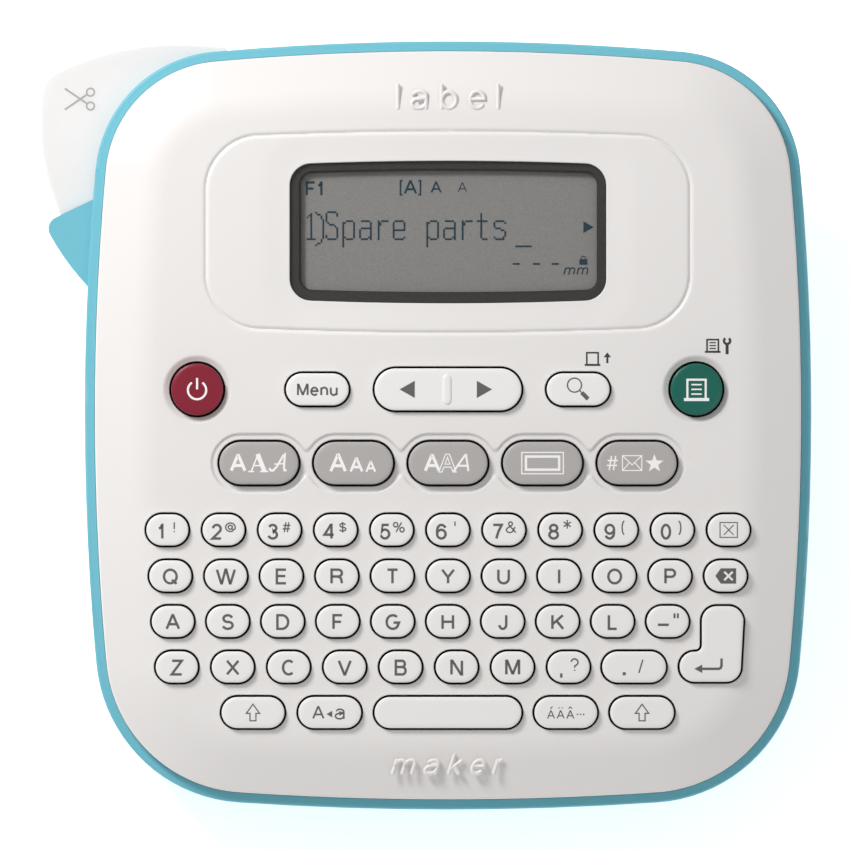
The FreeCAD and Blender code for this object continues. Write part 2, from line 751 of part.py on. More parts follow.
def make_key(label, shape, width, height, count):
    """A cap through its opening, a flange under the cover and a plunger over the dome."""
    body = new_body(label)
    top = "rocker_flange_level" if shape == "rocker" else "flange_level"
    bottom = "%s + flange_thickness" % top
    cap = key_profile(Sketch(body, "0 - (%s)" % bottom), label, shape, width, height, "0 - key_gap")
    flange = key_profile(Sketch(body, "0 - (%s)" % bottom), label, shape, width, height, "flange_lip")
    foot = key_profile(Sketch(body, "0 - plunger_level"), label, shape, width, height, "0 - plunger_inset")
    features = [
        cap.pad("%s + key_rise" % bottom),
        flange.pad("flange_thickness"),
        foot.pad("plunger_level - (%s)" % bottom),
    ]
    last = features[-1]
    if count > 1:
        last = repeat(body, features, label + "_count", label + "_step")
    finish_key(body, last, label)


def make_enter_key():
    """The L-shaped return key, built like the others from two overlapping outlines."""
    body = new_body("enter_key")
    bottom = "flange_level + flange_thickness"
    for profile in enter_profiles(body, "0 - (%s)" % bottom, "0 - key_gap"):
        profile.pad("%s + key_rise" % bottom)
    for profile in enter_profiles(body, "0 - (%s)" % bottom, "flange_lip"):
        profile.pad("flange_thickness")
    for profile in enter_profiles(body, "0 - plunger_level", "0 - plunger_inset"):
        last = profile.pad("plunger_level - (%s)" % bottom)
    finish_key(body, last, "enter_key")


def make_keypad_mat():
    """Silicone sheet on the board, with one pad under each key at its pressed height."""
    body = new_body("keypad_mat")
    Sketch(body, "0 - mat_level - mat_thickness").case("inner_inset").pad("mat_thickness")
    Sketch(body, "0 - mat_level").box(
        "0 - half_width", "mat_top", "half_width", "top_edge", "1",
    ).pocket("mat_thickness")
    for label, _, _, _, _, _, count, _ in KEYS:
        dome = Sketch(body, "0 - mat_level").circle(label + "_x", label + "_y", "dome_radius")
        pad = dome.pad("mat_level - dome_level")
        if count > 1:
            repeat(body, [pad], label + "_count", label + "_step")
    Sketch(body, "0 - mat_level").circle(
        "(enter_left + enter_right) / 2", "(enter_top + enter_bottom) / 2", "dome_radius",
    ).pad("mat_level - dome_level")
    keep(body, "keypad_mat")


# ---------------------------------------------------------------- display and board


def window_box(body, level, grow, corner, shape="window"):
    """A rounded rectangle centred on the display, larger than the window or the screen by an amount."""
    wide, tall = "%s_length / 2 + (%s)" % (shape, grow), "%s_height / 2 + (%s)" % (shape, grow)
    return Sketch(body, level).box(
        "0 - (%s)" % wide, "display_y - (%s)" % tall, wide, "display_y + (%s)" % tall, corner,
    )


def make_display():
    """Clear window, dark bezel, liquid crystal glass and the tray that holds it to the board."""
    body = new_body("display_window")
    window_box(body, "0 - cover_wall", "0", "window_corner").pad("cover_wall - window_set_back")
    keep(body, "display_window")
    bezel_bottom = "cover_wall + bezel_thickness"
    body = new_body("display_bezel")
    window_box(body, "0 - (%s)" % bezel_bottom, "bezel_lip", "window_corner").pad("bezel_thickness")
    window_box(body, "0 - cover_wall", "0", "screen_corner", "screen").pocket("bezel_thickness")
    keep(body, "display_bezel")
    glass_bottom = "%s + glass_thickness" % bezel_bottom
    body = new_body("lcd_glass")
    window_box(body, "0 - (%s)" % glass_bottom, "glass_margin", "1", "screen").pad("glass_thickness")
    keep(body, "lcd_glass")
    tray_top = "mat_level + mat_thickness"
    body = new_body("lcd_holder")
    window_box(body, "0 - (%s)" % tray_top, "glass_margin + 1.5", "2", "screen").pad(
        "%s - (%s)" % (tray_top, bezel_bottom))
    seat = window_box(body, "0 - (%s)" % bezel_bottom, "glass_margin + 0.1", "1", "screen")
    seat.pocket("glass_thickness")
    keep(body, "lcd_holder")


def make_main_board():
    """Circuit board under the keypad, with a step that runs up under the display."""
    body = new_body("main_board")
    level = "0 - mat_level - mat_thickness"
    Sketch(body, level + " - board_thickness").case("inner_inset").pad("board_thickness")
    Sketch(body, level).box("0 - half_width", "board_step", "0 - board_step_left", "top_edge", "1").pocket(
        "board_thickness")
    Sketch(body, level).box("0 - board_step_left - 5", "board_top", "half_width", "top_edge", "1").pocket(
        "board_thickness")
    keep(body, "main_board")


# ---------------------------------------------------------------- cutter


def lever_plan():
    """Plan of the lever: a fan about its pivot with a softly bowed thumb edge."""
    start, end = size("lever_start_angle"), size("lever_end_angle")
    corner, radius, hub = size("lever_corner_angle"), size("lever_radius"), size("lever_hub")
    toe, heel = polar(start + 1.5, 16.4), polar(corner, radius - 0.6)
    bow = polar(144.5, 25.0)
    return [
        Part.LineSegment(polar(start, hub - 1), toe),
        Part.Arc(toe, bow, heel),
        Part.Arc(heel, polar((corner + end) / 2, radius), polar(end, radius)),
        Part.LineSegment(polar(end, radius), polar(end, hub - 1)),
        Part.LineSegment(polar(end, hub - 1), polar(start, hub - 1)),
    ]


def make_cutter_lever():
    """Translucent thumb lever: top plate, skirt round the edge and hub on the pin."""
    level, plate, depth = size("lever_level"), size("lever_plate"), size("lever_depth")
    x, y = size("pivot_x"), size("pivot_y")
    fan_plate = prism(lever_plan(), level, depth)
    wire = Part.Wire([edge.toShape() for edge in lever_plan()])
    hollow = Part.Face(wire.makeOffset2D(-size("lever_skirt")))
    hollow.translate(Vector(0, 0, -level - plate))
    lever = fan_plate.cut(hollow.extrude(Vector(0, 0, -depth)))
    lever = lever.fuse(rod(x, y, size("lever_hub"), level, level + depth))
    lever = lever.cut(rod(x, y, size("pin_radius + pin_fit"), level - 1, level + depth + 1))
    part_feature("cutter_lever", lever)


def make_cutter_pin():
    """Shouldered steel pin that stands on the mechanism plate and carries the lever."""
    x, y, head = size("pivot_x"), size("pivot_y"), 1.0
    top = size("lever_level") - 0.1
    pin = rod(x, y, size("pin_radius"), top - 0.5, size("frame_level"))
    part_feature("cutter_pin", pin.fuse(rod(x, y, size("pin_radius + 1.5"), top - head, top)))


def make_lever_spring():
    """Return spring round the pin, between the lever's hub and the mechanism plate."""
    wire, turns = 0.35, 3
    first = size("lever_level + lever_depth") + 2 * wire
    coils = [
        Part.makeTorus(size("pin_radius") + 0.3 + wire, wire, Vector(
            size("pivot_x"), size("pivot_y"), -first - turn * 1.9 * wire))
        for turn in range(turns)
    ]
    spring = coils[0]
    for coil in coils[1:]:
        spring = spring.fuse(coil)
    part_feature("lever_spring", spring)


def make_blades():
    """Fixed blade on the plate's tab side and the moving blade that shears past it."""
    thick, x = size("blade_thickness"), size("blade_x")
    y, level = size("blade_pivot_y"), size("blade_pivot_level")
    plate_bottom = size("frame_level + frame_thickness")
    fixed = block(x, x + thick, size("exit_y") - 7.0, size("exit_y") - 0.3, plate_bottom, level - 1.0)
    part_feature("fixed_blade", fixed)
    left = x - 0.4 - thick
    blade = block(left, left + thick, y - 3.6, y + 2.4, size("exit_top"), level + 3.0)
    blade = blade.cut(rod_along_x(left - 1, left + thick + 1, y, level, 1.05))
    part_feature("moving_blade", blade)


# ---------------------------------------------------------------- printing mechanism


def idler_centre():
    """Centre of the idler gear, in mesh with the motor pinion and the platen gear."""
    module = size("gear_module")
    first = module * size("pinion_teeth + idler_teeth") / 2
    second = module * size("platen_teeth + idler_teeth") / 2
    start = (size("motor_x"), size("motor_y"))
    finish = (size("platen_x"), size("exit_y - 0.1 - platen_radius"))
    gap = math.hypot(finish[0] - start[0], finish[1] - start[1])
    along = (first ** 2 - second ** 2 + gap ** 2) / (2 * gap)
    across = math.sqrt(first ** 2 - along ** 2)
    ux, uy = (finish[0] - start[0]) / gap, (finish[1] - start[1]) / gap
    return start[0] + along * ux - across * uy, start[1] + along * uy + across * ux


def gear(x, y, teeth, bore, turn, level, width):
    """A spur gear with straight-sided teeth; the middle of one tooth points at the angle turn."""
    module = size("gear_module")
    pitch = module * teeth / 2
    outside, root = pitch + 0.9 * module, pitch - 1.2 * module
    step = 2 * math.pi / teeth
    points = []
    for tooth in range(teeth):
        middle = turn + tooth * step
        for radius, half in ((root, 0.31), (pitch, 0.22), (outside, 0.11)):
            points.append((radius, middle - half * step))
        for radius, half in ((outside, 0.11), (pitch, 0.22), (root, 0.31)):
            points.append((radius, middle + half * step))
    corners = [Vector(x + r * math.cos(a), y + r * math.sin(a), -level) for r, a in points]
    wheel = Part.Face(Part.makePolygon(corners + corners[:1])).extrude(Vector(0, 0, -width))
    return wheel.cut(rod(x, y, bore, level - 1, level + width + 1)) if bore else wheel


def make_gear_train():
    """Motor pinion, idler and the platen with its gear, with teeth set to mesh at rest."""
    level, width, fit = size("gear_level"), size("gear_width"), size("pin_fit")
    shaft = size("shaft_radius")
    x, y = idler_centre()
    motor = (size("motor_x"), size("motor_y"))
    platen = (size("platen_x"), size("exit_y - 0.1 - platen_radius"))
    idler_teeth, platen_teeth = int(size("idler_teeth")), int(size("platen_teeth"))
    pinion_teeth = int(size("pinion_teeth"))
    to_motor = math.atan2(motor[1] - y, motor[0] - x)
    to_platen = math.atan2(platen[1] - y, platen[0] - x)
    part_feature("drive_gear", gear(x, y, idler_teeth, shaft + fit, to_motor, level, width))
    back = to_motor + math.pi
    pinion = gear(*motor, pinion_teeth, 0.0, back + math.pi / pinion_teeth, level, width)
    part_feature("motor_pinion", pinion.fuse(rod(*motor, size("motor_shaft"), motor_bottom() - 1.5, level)))
    # Where the idler's tooth pattern stands at the platen decides the platen gear's turn.
    phase = ((to_platen - to_motor) / (2 * math.pi / idler_teeth)) % 1.0
    turn = to_platen + math.pi + math.pi / platen_teeth + phase * 2 * math.pi / platen_teeth
    part_feature("platen_gear", gear(*platen, platen_teeth, shaft, turn, level, width))
    top, bottom = size("tape_top") - 0.7, size("tape_top + tape_width") + 0.7
    part_feature("platen_roller", rod(*platen, size("platen_radius"), top, bottom).cut(
        rod(*platen, shaft, top - 1, bottom + 1)))
    part_feature("platen_shaft", rod(*platen, shaft, size("frame_level") - 0.4, level + width))


def motor_bottom():
    """Level of the motor's lower end."""
    return size("frame_level + frame_thickness + motor_length")


def make_motor():
    """Can motor hung from the mechanism plate, with a bearing for the pinion's shaft."""
    bottom = motor_bottom()
    x, y = size("motor_x"), size("motor_y")
    can = rod(x, y, size("motor_radius"), size("frame_level + frame_thickness"), bottom)
    can = can.fuse(rod(x, y, 2.5, bottom, bottom + 0.8))
    part_feature("motor", can.cut(rod(x, y, size("motor_shaft + pin_fit"), bottom - 2.0, bottom + 1.0)))


def make_mechanism_frame():
    """Steel plate under the floor with the idler's axle, the blade tab and its pivot."""
    top, thick = size("frame_level"), size("frame_thickness")
    bottom, fit = top + thick, size("pin_fit")
    x, y = idler_centre()
    tab_x, pivot_y, pivot = size("blade_x"), size("blade_pivot_y"), size("blade_pivot_level")
    plate = rod(x, y, size("shaft_radius"), top, size("gear_level + gear_width"))
    for left, right, front, back in PLATE_BLOCKS:
        plate = plate.fuse(block(left, right, front, back, top, bottom))
    wall = tab_x + thick
    plate = plate.fuse(block(tab_x, wall, pivot_y - 1.6, pivot_y + 2.4, top, pivot + 3.0))
    plate = plate.fuse(rod_along_x(tab_x - 1.4, wall, pivot_y, pivot, 1.0))
    platen_y = size("exit_y - 0.1 - platen_radius")
    hole = rod(size("platen_x"), platen_y, size("shaft_radius") + fit, 0.0, bottom + 1)
    part_feature("mechanism_frame", plate.cut(hole))


def make_print_head():
    """Thermal head on its heat sink, on the far side of the tape from the platen."""
    x, y = size("platen_x"), size("exit_y + tape_thickness")
    top = size("frame_level + frame_thickness")
    sink = block(x - 4.0, x + 4.0, y + 0.8, y + 2.6, top, size("tape_top + tape_width") + 1.0)
    low, high = size("tape_top") - 0.5, size("tape_top + tape_width") + 0.5
    head = block(x - 1.5, x + 1.5, y + 0.05, y + 0.8, low, high)
    part_feature("print_head", sink.fuse(head))


# ---------------------------------------------------------------- cassette


def cassette_spots():
    """Centres of the three rolls inside the cassette."""
    left, low = size("cassette_left"), size("cassette_bottom_edge")
    return {
        "tape": (left + 40.5, low + 26.0),
        "ribbon": (left + 12.0, low + 14.0),
        "takeup": (left + 12.5, low + 30.5),
    }


def make_cassette():
    """Two-part plastic cartridge with posts for its rolls and a slit for the tape."""
    left, low = size("cassette_left"), size("cassette_bottom_edge")
    right, high = left + size("cassette_length"), low + size("cassette_height")
    top, bottom = size("cassette_level"), size("cassette_level + cassette_depth")
    wall = size("cassette_wall")
    shell = block(left, right, low, high, top, bottom)
    upright = [e for e in shell.Edges if abs(e.BoundBox.ZLength - (bottom - top)) < 1e-6]
    shell = shell.makeFillet(3.0, upright)
    shell = shell.cut(block(left + wall, right - wall, low + wall, high - wall, top + wall, bottom - wall))
    for x, y in cassette_spots().values():
        shell = shell.fuse(rod(x, y, size("post_radius"), top, bottom))
    slit = size("exit_y")
    shell = shell.cut(block(left - 1, left + wall + 1, slit - 0.6, slit + 0.9, size("tape_top") - 0.3,
                            size("tape_top + tape_width") + 0.3))
    part_feature("tape_cassette", shell)


def make_rolls():
    """The label roll, the ribbon supply roll and the ribbon take-up roll on their posts."""
    core = size("post_radius + pin_fit")
    top, bottom = size("tape_top"), size("tape_top + tape_width")
    spots = cassette_spots()
    for label, radius, spot in (
        ("tape_roll", "tape_roll_radius", "tape"),
        ("ribbon_roll", "ribbon_roll_radius", "ribbon"),
        ("takeup_roll", "takeup_roll_radius", "takeup"),
    ):
        roll = rod(*spots[spot], size(radius), top, bottom)
        part_feature(label, roll.cut(rod(*spots[spot], core, top - 1, bottom + 1)))


def make_label_tape():
    """The strip of tape between the cassette and the cutter."""
    y = size("exit_y")
    strip = block(size("blade_x") + 1.4, size("cassette_left + cassette_wall") + 4.0, y,
                  y + size("tape_thickness"), size("tape_top"), size("tape_top + tape_width"))
    part_feature("label_tape", strip)


# ---------------------------------------------------------------- power


def cells():
    """Side and row of each battery: the sign of its x, and its centre y."""
    first, pitch = size("cell_first_y"), size("cell_pitch")
    return [(side, first + row * pitch) for row in range(int(size("cell_rows"))) for side in (-1, 1)]


def make_batteries():
    """Six small cells in two columns, their nubs towards the middle."""
    radius, level = size("cell_radius"), size("cell_level")
    inner, length, nub = size("cell_inner_x"), size("cell_length"), size("cell_nub")
    solids = []
    for side, y in cells():
        near, far = sorted((side * (inner + nub), side * (inner + nub + length)))
        cell = rod_along_x(near, far, y, level, radius)
        tip_near, tip_far = sorted((side * inner, side * (inner + nub)))
        solids.append(cell.fuse(rod_along_x(tip_near, tip_far, y, level, 1.9)))
    part_feature("batteries", Part.makeCompound(solids))


def make_battery_springs():
    """A coned coil at the flat end of each cell."""
    inner = size("cell_inner_x + cell_length + cell_nub")
    length, level = size("spring_length"), size("cell_level")
    solids = []
    for side, y in cells():
        cone = Part.makeCone(2.0, 3.4, length, Vector(side * inner, y, -level), Vector(side, 0, 0))
        bore = Part.makeCone(1.5, 2.9, length, Vector(side * inner, y, -level), Vector(side, 0, 0))
        solids.append(cone.cut(bore))
    part_feature("battery_springs", Part.makeCompound(solids))


def make_battery_contacts():
    """End plates behind the springs and a bridge plate between the nubs of each row."""
    thick, level = size("contact_thickness"), size("cell_level")
    outer = size("cell_inner_x + cell_length + cell_nub + spring_length")
    solids = []
    for side, y in cells():
        near, far = sorted((side * outer, side * (outer + thick)))
        solids.append(block(near, far, y - 4.4, y + 4.4, level - 4.4, level + 4.4))
    half = size("cell_inner_x")
    for y in sorted({y for _, y in cells()}):
        solids.append(block(-half, half, y - 3.5, y + 3.5, level - 3.5, level + 3.5))
    part_feature("battery_contacts", Part.makeCompound(solids))


def make_dc_jack():
    """Round power inlet behind its opening in the right wall, with a centre pin."""
    y, level = size("jack_y"), size("jack_level")
    end = size("jack_face_x")
    start, depth = end - size("jack_length"), size("jack_length") - 2.0
    jack = rod_along_x(start, end, y, level, size("jack_radius"))
    jack = jack.cut(rod_along_x(end - depth, end + 1, y, level, size("jack_bore")))
    pin = rod_along_x(end - depth - 0.5, end - 1.5, y, level, size("jack_pin"))
    part_feature("dc_jack", jack.fuse(pin))


# ---------------------------------------------------------------- fixings and feet


def make_case_screws():
    """Screws through the floor into the bosses of the cover."""
    under = size("floor_level + floor_thickness")
    top = size("floor_level - screw_length") + 2.0
    solids = []
    for x, y in BOSSES:
        head = rod(x, y, size("screw_head_radius"), under, under + 1.6)
        solids.append(head.fuse(rod(x, y, size("screw_radius"), top, under)))
    part_feature("case_screws", Part.makeCompound(solids))


def make_rubber_feet():
    """Four round pads between the back cover and the table."""
    feet = []
    for side in ("axis_shift - foot_x", "axis_shift + foot_x"):
        for end in ("foot_front_y", "foot_back_y"):
            foot = doc.addObject("Part::Cylinder", "Foot")
            foot.setExpression("Radius", bound("foot_radius"))
            foot.setExpression("Height", bound("table_gap"))
            foot.setExpression("Placement.Base.x", bound(side))
            foot.setExpression("Placement.Base.y", bound("%s + depth_shift" % end))
            feet.append(foot)
    pads = doc.addObject("Part::Compound", "rubber_feet")
    pads.Links = feet
    doc.recompute()
    keep(pads, "rubber_feet", FreeCAD.Placement())


# ---------------------------------------------------------------- build


def build():
    """Make every sub-part in turn."""
    make_top_cover()
    make_base_case()
    make_back_cover()
    make_display()
    for label, shape, _, _, width, height, count, _ in KEYS:
        make_key(label, shape, width, height, count)
    make_enter_key()
    make_keypad_mat()
    make_main_board()
    make_cutter_lever()
    make_cutter_pin()
    make_lever_spring()
    make_blades()
    make_mechanism_frame()
    make_print_head()
    make_gear_train()
    make_motor()
    make_cassette()
    make_rolls()
    make_label_tape()
    make_batteries()
    make_battery_springs()
    make_battery_contacts()
    make_dc_jack()
    make_case_screws()
    make_rubber_feet()


def check():
    """Stop if any object of the document or any sub-part's shape is bad."""
    doc.recompute()
    bad = [o.Name for o in doc.Objects if {"Invalid", "Error"} & set(o.State)]
    bad += [f.Label for f in PARTS if f.Shape.isNull() or not f.Shape.isValid() or not f.Shape.Solids]
    bad += [f.Label for f in PARTS if any(s.Volume <= 0 for s in f.Shape.Solids)]
    if bad:
        raise RuntimeError("failed: " + ", ".join(bad))


build()
check()
os.makedirs("parts", exist_ok=True)
whole = FreeCAD.BoundBox()
for item in PARTS:
    item.Shape.exportStep(os.path.join("parts", item.Label + ".step"))
    whole.add(item.Shape.BoundBox)
    print("%-20s solids %3d  volume %9.1f" % (item.Label, len(item.Shape.Solids), item.Shape.Volume))
print("%d sub-parts, box %s" % (len(PARTS), whole))
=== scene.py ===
"""Visual model of a desktop label maker: cover, keys, display, cutter lever and case.

Shapes are drawn in millimetres in the machine's key face (x right, y up the face, z out
of it, origin where the centre line meets the face) and placed in the row frame, in
metres, by FaceFrame.
"""

import json
import logging
import math
from dataclasses import dataclass, field
from enum import Enum
from typing import Callable, Iterable, Optional, Sequence

import bpy
import numpy as np
from mathutils import Matrix, Vector
from mathutils.geometry import delaunay_2d_cdt

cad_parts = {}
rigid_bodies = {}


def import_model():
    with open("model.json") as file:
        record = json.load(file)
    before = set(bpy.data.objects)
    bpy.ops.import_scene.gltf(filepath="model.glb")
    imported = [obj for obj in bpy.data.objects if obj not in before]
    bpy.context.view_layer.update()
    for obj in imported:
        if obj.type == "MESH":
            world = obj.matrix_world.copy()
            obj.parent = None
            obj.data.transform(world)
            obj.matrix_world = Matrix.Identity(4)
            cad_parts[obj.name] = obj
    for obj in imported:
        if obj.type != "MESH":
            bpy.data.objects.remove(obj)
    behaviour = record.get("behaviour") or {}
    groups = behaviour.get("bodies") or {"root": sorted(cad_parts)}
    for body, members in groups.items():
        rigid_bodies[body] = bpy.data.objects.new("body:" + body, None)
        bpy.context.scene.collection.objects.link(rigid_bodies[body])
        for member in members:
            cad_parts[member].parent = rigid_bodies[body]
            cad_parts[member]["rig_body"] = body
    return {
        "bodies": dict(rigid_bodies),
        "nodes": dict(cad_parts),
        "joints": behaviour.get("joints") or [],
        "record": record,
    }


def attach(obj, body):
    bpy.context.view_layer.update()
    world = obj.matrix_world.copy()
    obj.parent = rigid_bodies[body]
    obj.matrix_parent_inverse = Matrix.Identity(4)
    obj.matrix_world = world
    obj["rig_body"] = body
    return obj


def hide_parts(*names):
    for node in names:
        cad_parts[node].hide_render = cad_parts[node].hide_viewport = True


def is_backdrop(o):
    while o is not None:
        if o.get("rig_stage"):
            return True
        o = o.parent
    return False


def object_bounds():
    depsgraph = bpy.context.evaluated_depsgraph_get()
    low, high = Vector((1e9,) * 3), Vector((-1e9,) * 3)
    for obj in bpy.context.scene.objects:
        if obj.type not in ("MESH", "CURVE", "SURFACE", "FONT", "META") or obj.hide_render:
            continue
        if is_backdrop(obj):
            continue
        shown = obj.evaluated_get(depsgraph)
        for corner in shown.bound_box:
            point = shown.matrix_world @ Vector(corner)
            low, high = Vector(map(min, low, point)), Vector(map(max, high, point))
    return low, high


LOG = logging.getLogger("label_maker")
MM = 0.001
TAU = 2 * math.pi
Spot = tuple[float, float]
Ring = tuple[np.ndarray, np.ndarray]
Legend = Callable[["Pen", float, float], None]
# Levels and gaps in millimetres that several pieces share.
FLANGE_LEVEL = -2.1
CURSOR_FLANGE_LEVEL = -3.1
STEM_GAP = 0.02
RIDGE_SUNK = 0.03
INK_STEP = 0.0015
INK_STEPS = 9


# ---- frame and meshes


@dataclass(frozen=True)
class FaceFrame:
    """The key face as a coordinate frame, in millimetres."""

    place: Matrix
    nodes: dict

    @classmethod
    def from_frame(cls, frame: dict, pivot: tuple = (-36.0, 63.0, -11.0)) -> "FaceFrame":
        """Find the face from the lever's hinge, which stands square to it.

        Args:
            frame: The loaded frame.
            pivot: The hinge's point in the face, in millimetres.

        Returns:
            The face frame.
        """
        hinge = next(j for j in frame["joints"] if j["name"] == "cutter_press")
        out = Vector(hinge["axis"]).normalized()
        right = Vector((1.0, 0.0, 0.0))
        turn = Matrix((right, out.cross(right), out)).transposed()
        origin = Vector(hinge["pos_m"]) - turn @ (Vector(pivot) * MM)
        place = Matrix.Translation(origin) @ turn.to_4x4() @ Matrix.Scale(MM, 4)
        return cls(place, frame["nodes"])

    def points(self, local: np.ndarray) -> np.ndarray:
        """Points of the face in the row frame, in metres."""
        table = np.array(self.place)
        return local @ table[:3, :3].T + table[:3, 3]

    def directions(self, local: np.ndarray) -> np.ndarray:
        """Directions of the face turned into the row frame."""
        turned = local @ np.array(self.place)[:3, :3].T
        return turned / np.maximum(np.linalg.norm(turned, axis=1, keepdims=True), 1e-12)

    def extent(self, node: str) -> tuple[np.ndarray, np.ndarray]:
        """Measure a node of the frame along the face.

        Args:
            node: Its name.

        Returns:
            Its lowest and its highest corner.
        """
        mesh = self.nodes[node].data
        world = np.zeros(len(mesh.vertices) * 3)
        mesh.vertices.foreach_get("co", world)
        table = np.array(self.place.inverted())
        local = world.reshape(-1, 3) @ table[:3, :3].T + table[:3, 3]
        return local.min(0), local.max(0)


class Surface:
    """Points with their own normals, gathered into faces for one mesh."""

    def __init__(self) -> None:
        """Start with nothing in it."""
        self.points: list[np.ndarray] = []
        self.normals: list[np.ndarray] = []
        self.faces: list[tuple[int, ...]] = []
        self.count = 0

    def add(self, points: np.ndarray, normals: np.ndarray, faces: Iterable[Sequence[int]]) -> int:
        """Add points, their normals and faces that count from the first of them.

        Args:
            points: Positions, one row each.
            normals: Directions, one row each.
            faces: Runs of indices into points.

        Returns:
            The index of the first added point.
        """
        first = self.count
        self.points.append(np.asarray(points, float))
        self.normals.append(np.asarray(normals, float))
        self.faces += [tuple(int(i) + first for i in face) for face in faces]
        self.count += len(points)
        return first

    def loft(self, rings: Sequence[tuple[np.ndarray, np.ndarray]], cap_first: bool = False,
             cap_last: bool = False) -> None:
        """Join closed rings of equal length in order; anticlockwise rings that rise face outwards.

        Args:
            rings: Points and normals of each ring.
            cap_first: Close the first ring with a face that looks down.
            cap_last: Close the last ring with a face that looks up.
        """
        size = len(rings[0][0])
        faces: list[Sequence[int]] = []
        for ring in range(len(rings) - 1):
            low, high = ring * size, (ring + 1) * size
            for i in range(size):
                j = (i + 1) % size
                faces.append((low + i, low + j, high + j, high + i))
        if cap_last:
            faces.append(range((len(rings) - 1) * size, len(rings) * size))
        if cap_first:
            faces.append(range(size - 1, -1, -1))
        self.add(np.vstack([r[0] for r in rings]), np.vstack([r[1] for r in rings]), faces)

    def slab(self, flat: np.ndarray, faces: Sequence[Sequence[int]], low: float, high: float) -> None:
        """Thicken a flat pattern into a closed plate between two heights.

        Args:
            flat: Corners of the pattern in the plane.
            faces: Its faces, anticlockwise.
            low: Height of the underside.
            high: Height of the upper side.
        """
        count = len(flat)
        used: dict[tuple[int, int], int] = {}
        for face in faces:
            for a, b in zip(face, list(face[1:]) + [face[0]]):
                used[(a, b)] = used.get((a, b), 0) + 1
        rim = [edge for edge in used if (edge[1], edge[0]) not in used]
        top = np.column_stack([flat, np.full(count, high)])
        bottom = np.column_stack([flat, np.full(count, low)])
        up = np.tile([0.0, 0.0, 1.0], (count, 1))
        self.add(top, up, faces)
        self.add(bottom, -up, [tuple(reversed(face)) for face in faces])
        for a, b in rim:
            run = flat[b] - flat[a]
            out = np.array([run[1], -run[0], 0.0]) / max(np.hypot(*run), 1e-9)
            self.add(np.array([bottom[a], bottom[b], top[b], top[a]]), np.tile(out, (4, 1)), [(0, 1, 2, 3)])

    def build(self, name: str, face: FaceFrame, finish: bpy.types.Material) -> bpy.types.Object:
        """Make the object, with its place in its mesh.

        Args:
            name: Name of the piece.
            face: Frame that the points are drawn in.
            finish: The piece's material.

        Returns:
            The new object.
        """
        mesh = bpy.data.meshes.new(name)
        mesh.from_pydata(face.points(np.vstack(self.points)).tolist(), [], self.faces)
        mesh.materials.append(finish)
        for polygon in mesh.polygons:
            polygon.use_smooth = True
        mesh.normals_split_custom_set_from_vertices(face.directions(np.vstack(self.normals)).tolist())
        piece = bpy.data.objects.new(name, mesh)
        bpy.context.scene.collection.objects.link(piece)
        return piece


def seat(piece: bpy.types.Object, body: str, slot: str, *stands_for: str) -> None:
    """Let a piece ride on a body and hide the frame's parts that it stands for."""
    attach(piece, body)
    if stands_for:
        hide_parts(*stands_for)


# ---- outlines


@dataclass(frozen=True)
class Arc:
    """One round corner of an outline; a hollow corner turns the other way."""

    x: float
    y: float
    radius: float
    start: float
    end: float
    steps: int = 10
    hollow: bool = False


@dataclass(frozen=True)
class Outline:
    """A closed run of arcs, anticlockwise, joined by straight lines."""

    arcs: tuple[Arc, ...]
    bow: float = 0.0
    half: Spot = (1.0, 1.0)
    middle: Spot = (0.0, 0.0)

    def ring(self, grow: float) -> tuple[np.ndarray, np.ndarray]:
        """The outline moved outwards, and the direction outwards at each of its points.

        Args:
            grow: Distance to move, negative for inwards.

        Returns:
            Points and unit directions, in the plane.
        """
        points, ways = [], []
        for arc in self.arcs:
            sign = -1.0 if arc.hollow else 1.0
            radius = max(arc.radius + sign * grow, 0.01)
            turns = np.linspace(arc.start, arc.end, arc.steps + 1)
            way = np.column_stack([np.cos(turns), np.sin(turns)])
            points.append(way * radius + (arc.x, arc.y))
            ways.append(way * sign)
        ring, way = np.vstack(points), np.vstack(ways)
        if self.bow:
            ring = self.bowed(ring)
        return ring, way

    def level(self, grow: float, height: float, across: float, up: float) -> Ring:
        """The outline moved outwards and laid at one height.

        Args:
            grow: Distance to move, negative for inwards.
            height: Height out of the face.
            across: Share of each normal that points outwards.
            up: Share of each normal that points up.

        Returns:
            Points and normals in space.
        """
        ring, way = self.ring(grow)
        return (np.column_stack([ring, np.full(len(ring), height)]),
                np.column_stack([way * across, np.full(len(ring), up)]))

    def bowed(self, points: np.ndarray, back: bool = False) -> np.ndarray:
        """Swell points up and down towards the middle, as the long sides do, or undo that.

        Args:
            points: Points in the plane.
            back: Undo the swelling.

        Returns:
            The moved points.
        """
        rise = 1.0 + self.bow / self.half[1] * (1.0 - ((points[:, 0] - self.middle[0]) / self.half[0]) ** 2)
        shifted = points[:, 1] - self.middle[1]
        return np.column_stack([points[:, 0], (shifted / rise if back else shifted * rise) + self.middle[1]])


def circle(x: float, y: float, radius: float, steps: int = 48) -> Outline:
    """A round outline."""
    return Outline((Arc(x, y, radius, 0.0, TAU * (1 - 1 / steps), steps - 1),))


def capsule(x: float, y: float, width: float, height: float, steps: int = 18) -> Outline:
    """A bar with fully round ends."""
    radius, reach = height / 2, (width - height) / 2
    quarter = TAU / 4
    return Outline((
        Arc(x + reach, y, radius, -quarter, quarter, steps),
        Arc(x - reach, y, radius, quarter, 3 * quarter, steps),
    ))


